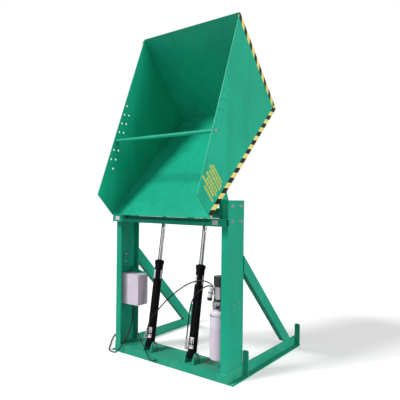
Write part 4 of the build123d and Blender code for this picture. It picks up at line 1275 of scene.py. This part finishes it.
@dataclass
class PowerUnit:
    """Motor, pump block, tank and solenoid on the right post."""

    x: float = 0.520
    y: float = -0.552
    block_top: float = 0.658
    block_face: float = 0.048
    cap_top: float = 0.878
    tank_radius: float = 0.082
    clamp_height: float = 0.532
    motor_radius: float = 0.046
    band_heights: tuple[float, float] = (0.6585, 0.786)
    stud_circle: float = 0.034
    stud_angles: tuple[float, ...] = (0.6, 2.7, 4.3)
    plugs: tuple[tuple[float, float], ...] = ((-0.026, 0.604), (-0.008, 0.640), (0.026, 0.640))
    terminal_spread: float = 0.010

    def build(self) -> None:
        """Dresses the nodes and adds bands, studs, terminals and the filler's knob."""
        dress(Finish.ALLOY, "pump_manifold", "motor_rotor")
        dress(Finish.SILVER, "motor_body")
        dress(Finish.WHITE, "start_solenoid")
        dress(Finish.TANK, "oil_tank")
        dress(Finish.BLACK, "motor_cap", "filler_cap")
        dress(Finish.ZINC, "hose_fittings")
        self.bands()
        self.studs()
        self.solenoid_parts()
        self.motor_link()
        self.filler()

    def bands(self) -> None:
        """The tank's clamp, the motor's two bands and the cap's bright top disc."""
        clamp, band, disc = Surface(), Surface(), Surface()
        centre = (self.x, self.y, 0.0)
        hoop = [(-0.004, 0.0), (0.0012, 0.0), (0.0020, 0.002), (0.0012, 0.004), (0.0012, 0.010),
                (0.0020, 0.012), (-0.004, 0.014), (-0.004, 0.0)]
        turned(clamp, centre, UP, moved(hoop, self.tank_radius, self.clamp_height), 72)
        screw = solid((0.0058, -0.012), (0.0066, -0.010), (0.0066, 0.010), (0.0058, 0.012))
        place = (self.x - 0.050, self.y - 0.0665, self.clamp_height + 0.007)
        turned(clamp, place, (1.0, -0.75, 0.0), screw, 24)
        clamp.piece("tank_clamp", Finish.ZINC, "base", Slot.STEEL)
        lower = [(-0.002, 0.0), (0.0034, 0.0), (0.0044, 0.0025), (0.0044, 0.0175), (0.0030, 0.0205),
                 (-0.002, 0.0205), (-0.002, 0.0)]
        upper = [(-0.002, 0.0), (0.0026, 0.0), (0.0036, 0.003), (0.0036, 0.0175), (-0.002, 0.0175),
                 (-0.002, 0.0)]
        for profile, height in zip((lower, upper), self.band_heights):
            turned(band, centre, UP, moved(profile, self.motor_radius, height), 64)
        band.piece("motor_bands", Finish.BLACK, "base", Slot.PLASTIC)
        turned(disc, (self.x, self.y, self.cap_top), UP,
               [(0.0, -0.002), (0.043, -0.002), (0.043, 0.0006), (0.041, 0.0018), (0.030, 0.0022),
                (0.028, 0.0012), (0.012, 0.0012), (0.010, 0.0028), (0.0, 0.0032)], 64)
        disc.piece("motor_end_disc", Finish.ALLOY, "base", Slot.ALLOY)

    def studs(self) -> None:
        """Through bolts on the motor cap, and hexagon plugs on the pump block's front."""
        made = Surface()
        head = solid((0.0052, -0.001), (0.0056, 0.0005), (0.0056, 0.0040), (0.0048, 0.0050))
        for angle in self.stud_angles:
            place = (self.x + self.stud_circle * math.cos(angle), self.y + self.stud_circle * math.sin(angle),
                     self.cap_top)
            turned(made, place, UP, head, 36, 6)
        plug = solid((0.0094, -0.001), (0.0100, 0.0005), (0.0100, 0.0060), (0.0088, 0.0072), (0.0060, 0.0072),
                     (0.0056, 0.0040))
        for x, z in self.plugs:
            turned(made, (self.x + x, self.y - self.block_face, z), (0.0, -1.0, 0.0), plug, 36, 6)
        made.piece("unit_studs", Finish.ZINC, "base", Slot.STEEL, 30.0)

    def solenoid_line(self) -> tuple[np.ndarray, np.ndarray, np.ndarray]:
        """The solenoid's foot, its head and the unit vector between them."""
        foot = np.array([self.x - 0.076, self.y - 0.044, self.block_top + 0.006])
        head = np.array([self.x - 0.058, self.y - 0.044, self.block_top + 0.124])
        return foot, head, (head - foot) / np.linalg.norm(head - foot)

    def solenoid_parts(self) -> None:
        """The solenoid's dark lower cup and band, and its two terminals."""
        foot, head, axis = self.solenoid_line()
        cup = Surface()
        base = solid((0.0205, -0.0012), (0.0228, 0.002), (0.0228, 0.026), (0.0218, 0.028))
        band = solid((0.0226, 0.066), (0.0230, 0.068), (0.0230, 0.072), (0.0226, 0.074))
        for profile in (base, band):
            turned(cup, foot, axis, profile, 48)
        cup.piece("solenoid_cup", Finish.BLACK, "base", Slot.PLASTIC)
        posts = Surface()
        stud = solid((0.0070, -0.001), (0.0070, 0.004), (0.0034, 0.0045), (0.0034, 0.016), (0.0026, 0.018))
        nut = solid((0.0060, 0.006), (0.0064, 0.007), (0.0064, 0.010), (0.0060, 0.011))
        for side in BOTH:
            place = head + np.array([0.0, side * self.terminal_spread, 0.0])
            turned(posts, place, axis, stud, 36)
            turned(posts, place, axis, nut, 36, 6)
        posts.piece("solenoid_terminals", Finish.ZINC, "base", Slot.STEEL, 30.0)

    def motor_link(self) -> None:
        """The copper bar from a terminal to the motor, arched by 8 mm x sin(pi s) along its length s."""
        bar = Surface()
        _, head, axis = self.solenoid_line()
        s = np.linspace(0.0, 1.0, 24)[:, None, None]
        start = head + axis * 0.0052 + np.array([0.0, 0.006, 0.0])
        end = np.array([self.x - 0.040, self.y - 0.020, 0.800])
        arch = start + s * (end - start) + np.sin(np.pi * s) * np.array([0.0, 0.0, 0.008])
        corners = ((-0.005, 0.0), (0.005, 0.0), (0.005, 0.0015), (-0.005, 0.0015))
        section = np.array([(0.0, y, z) for y, z in corners])
        bar.bar(arch + section[None])
        bar.piece("motor_link", Finish.COPPER, "base", Slot.ALLOY, 30.0)

    def filler(self) -> None:
        """The filler's fluted knob: its radius waves round the axis, r = 0.0142 + 0.0007 cos(14 a)."""
        made = Surface()
        low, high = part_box("filler_cap")
        centre = np.array([(low.x + high.x) / 2, low.y, (low.z + high.z) / 2])
        angles = np.linspace(0.0, 2 * np.pi, 84, endpoint=False)
        flutes = 0.0142 + 0.0007 * np.cos(14 * angles)
        ring = np.stack([np.cos(angles), np.zeros_like(angles), np.sin(angles)], axis=-1)
        shares = np.array([0.0, 0.90, 1.0, 1.0, 0.92, 0.60, 0.60, 0.0])
        depths = np.array([0.0, 0.0, 0.0012, 0.0205, 0.0220, 0.0222, 0.0340, 0.0340])
        backward = np.array([0.0, 1.0, 0.0])
        made.grid(centre + (shares[:, None] * flutes)[..., None] * ring + depths[:, None, None] * backward)
        knob = made.piece("filler_knob", Finish.BLACK, "base", Slot.PLASTIC, 50.0)
        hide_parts("filler_cap")


@dataclass
class ControlBox:
    """The control box on the left post, with its gasket and hinges."""

    hinge_radius: float = 0.005
    hinge_margins: tuple[float, float] = (0.045, 0.091)
    gasket_inset: float = 0.0012
    gasket_inner: float = 0.014
    gasket_thick: float = 0.0024

    def build(self) -> None:
        """Dresses the nodes and adds the seam's gasket and two hinges."""
        dress(Finish.BOX, "enclosure_body", "enclosure_cover")
        dress(Finish.BLACK, "relay_block", "cable_glands")
        self.gasket()
        self.hinges()

    def gasket(self) -> None:
        """A four-sided rubber frame in the seam between the cover and the body."""
        low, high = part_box("enclosure_cover")
        made, half = Surface(), self.gasket_thick / 2

        def loop(inset: float, y: float) -> np.ndarray:
            """Four corners set in from the cover's edge."""
            left, right, bottom, top = low.x + inset, high.x - inset, low.z + inset, high.z - inset
            return np.array([(left, y, bottom), (right, y, bottom), (right, y, top), (left, y, top)])

        outer, inner = self.gasket_inset, self.gasket_inner
        made.grid(np.stack([loop(inset, high.y + off) for inset, off in (
            (inner, -half), (outer, -half), (outer, half), (inner, half), (inner, -half))]))
        made.piece("cover_gasket", Finish.RUBBER, "base", Slot.RUBBER, 30.0)

    def hinges(self) -> None:
        """Two three-part hinge barrels on the cover's right edge."""
        low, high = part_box("enclosure_cover")
        made, r = Surface(), self.hinge_radius
        groove = r - 0.0008
        barrel = solid((r, 0.0), (r, 0.014), (groove, 0.0146), (r, 0.0152), (r, 0.030), (groove, 0.0306),
                       (r, 0.0312), (r, 0.046))
        for z in (low.z + self.hinge_margins[0], high.z - self.hinge_margins[1]):
            turned(made, (high.x + r * 0.8, high.y, z), UP, barrel, 28)
        made.piece("cover_hinges", Finish.BOX, "base", Slot.BOX, 30.0)


def main() -> None:
    """Builds the surroundings, the cords and each sub-assembly."""
    logging.basicConfig(level=logging.INFO, format="%(name)s: %(message)s")
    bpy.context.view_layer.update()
    Surroundings().build()
    Cords().build()
    rams = [Ram(name, side * RAM_X) for name, side in SIDES]
    for assembly in (BaseFrame(), Bucket(), *rams, PowerUnit(), ControlBox()):
        assembly.build()
        LOG.info("%s built", type(assembly).__name__)


if __name__ == "__main__":
    main()
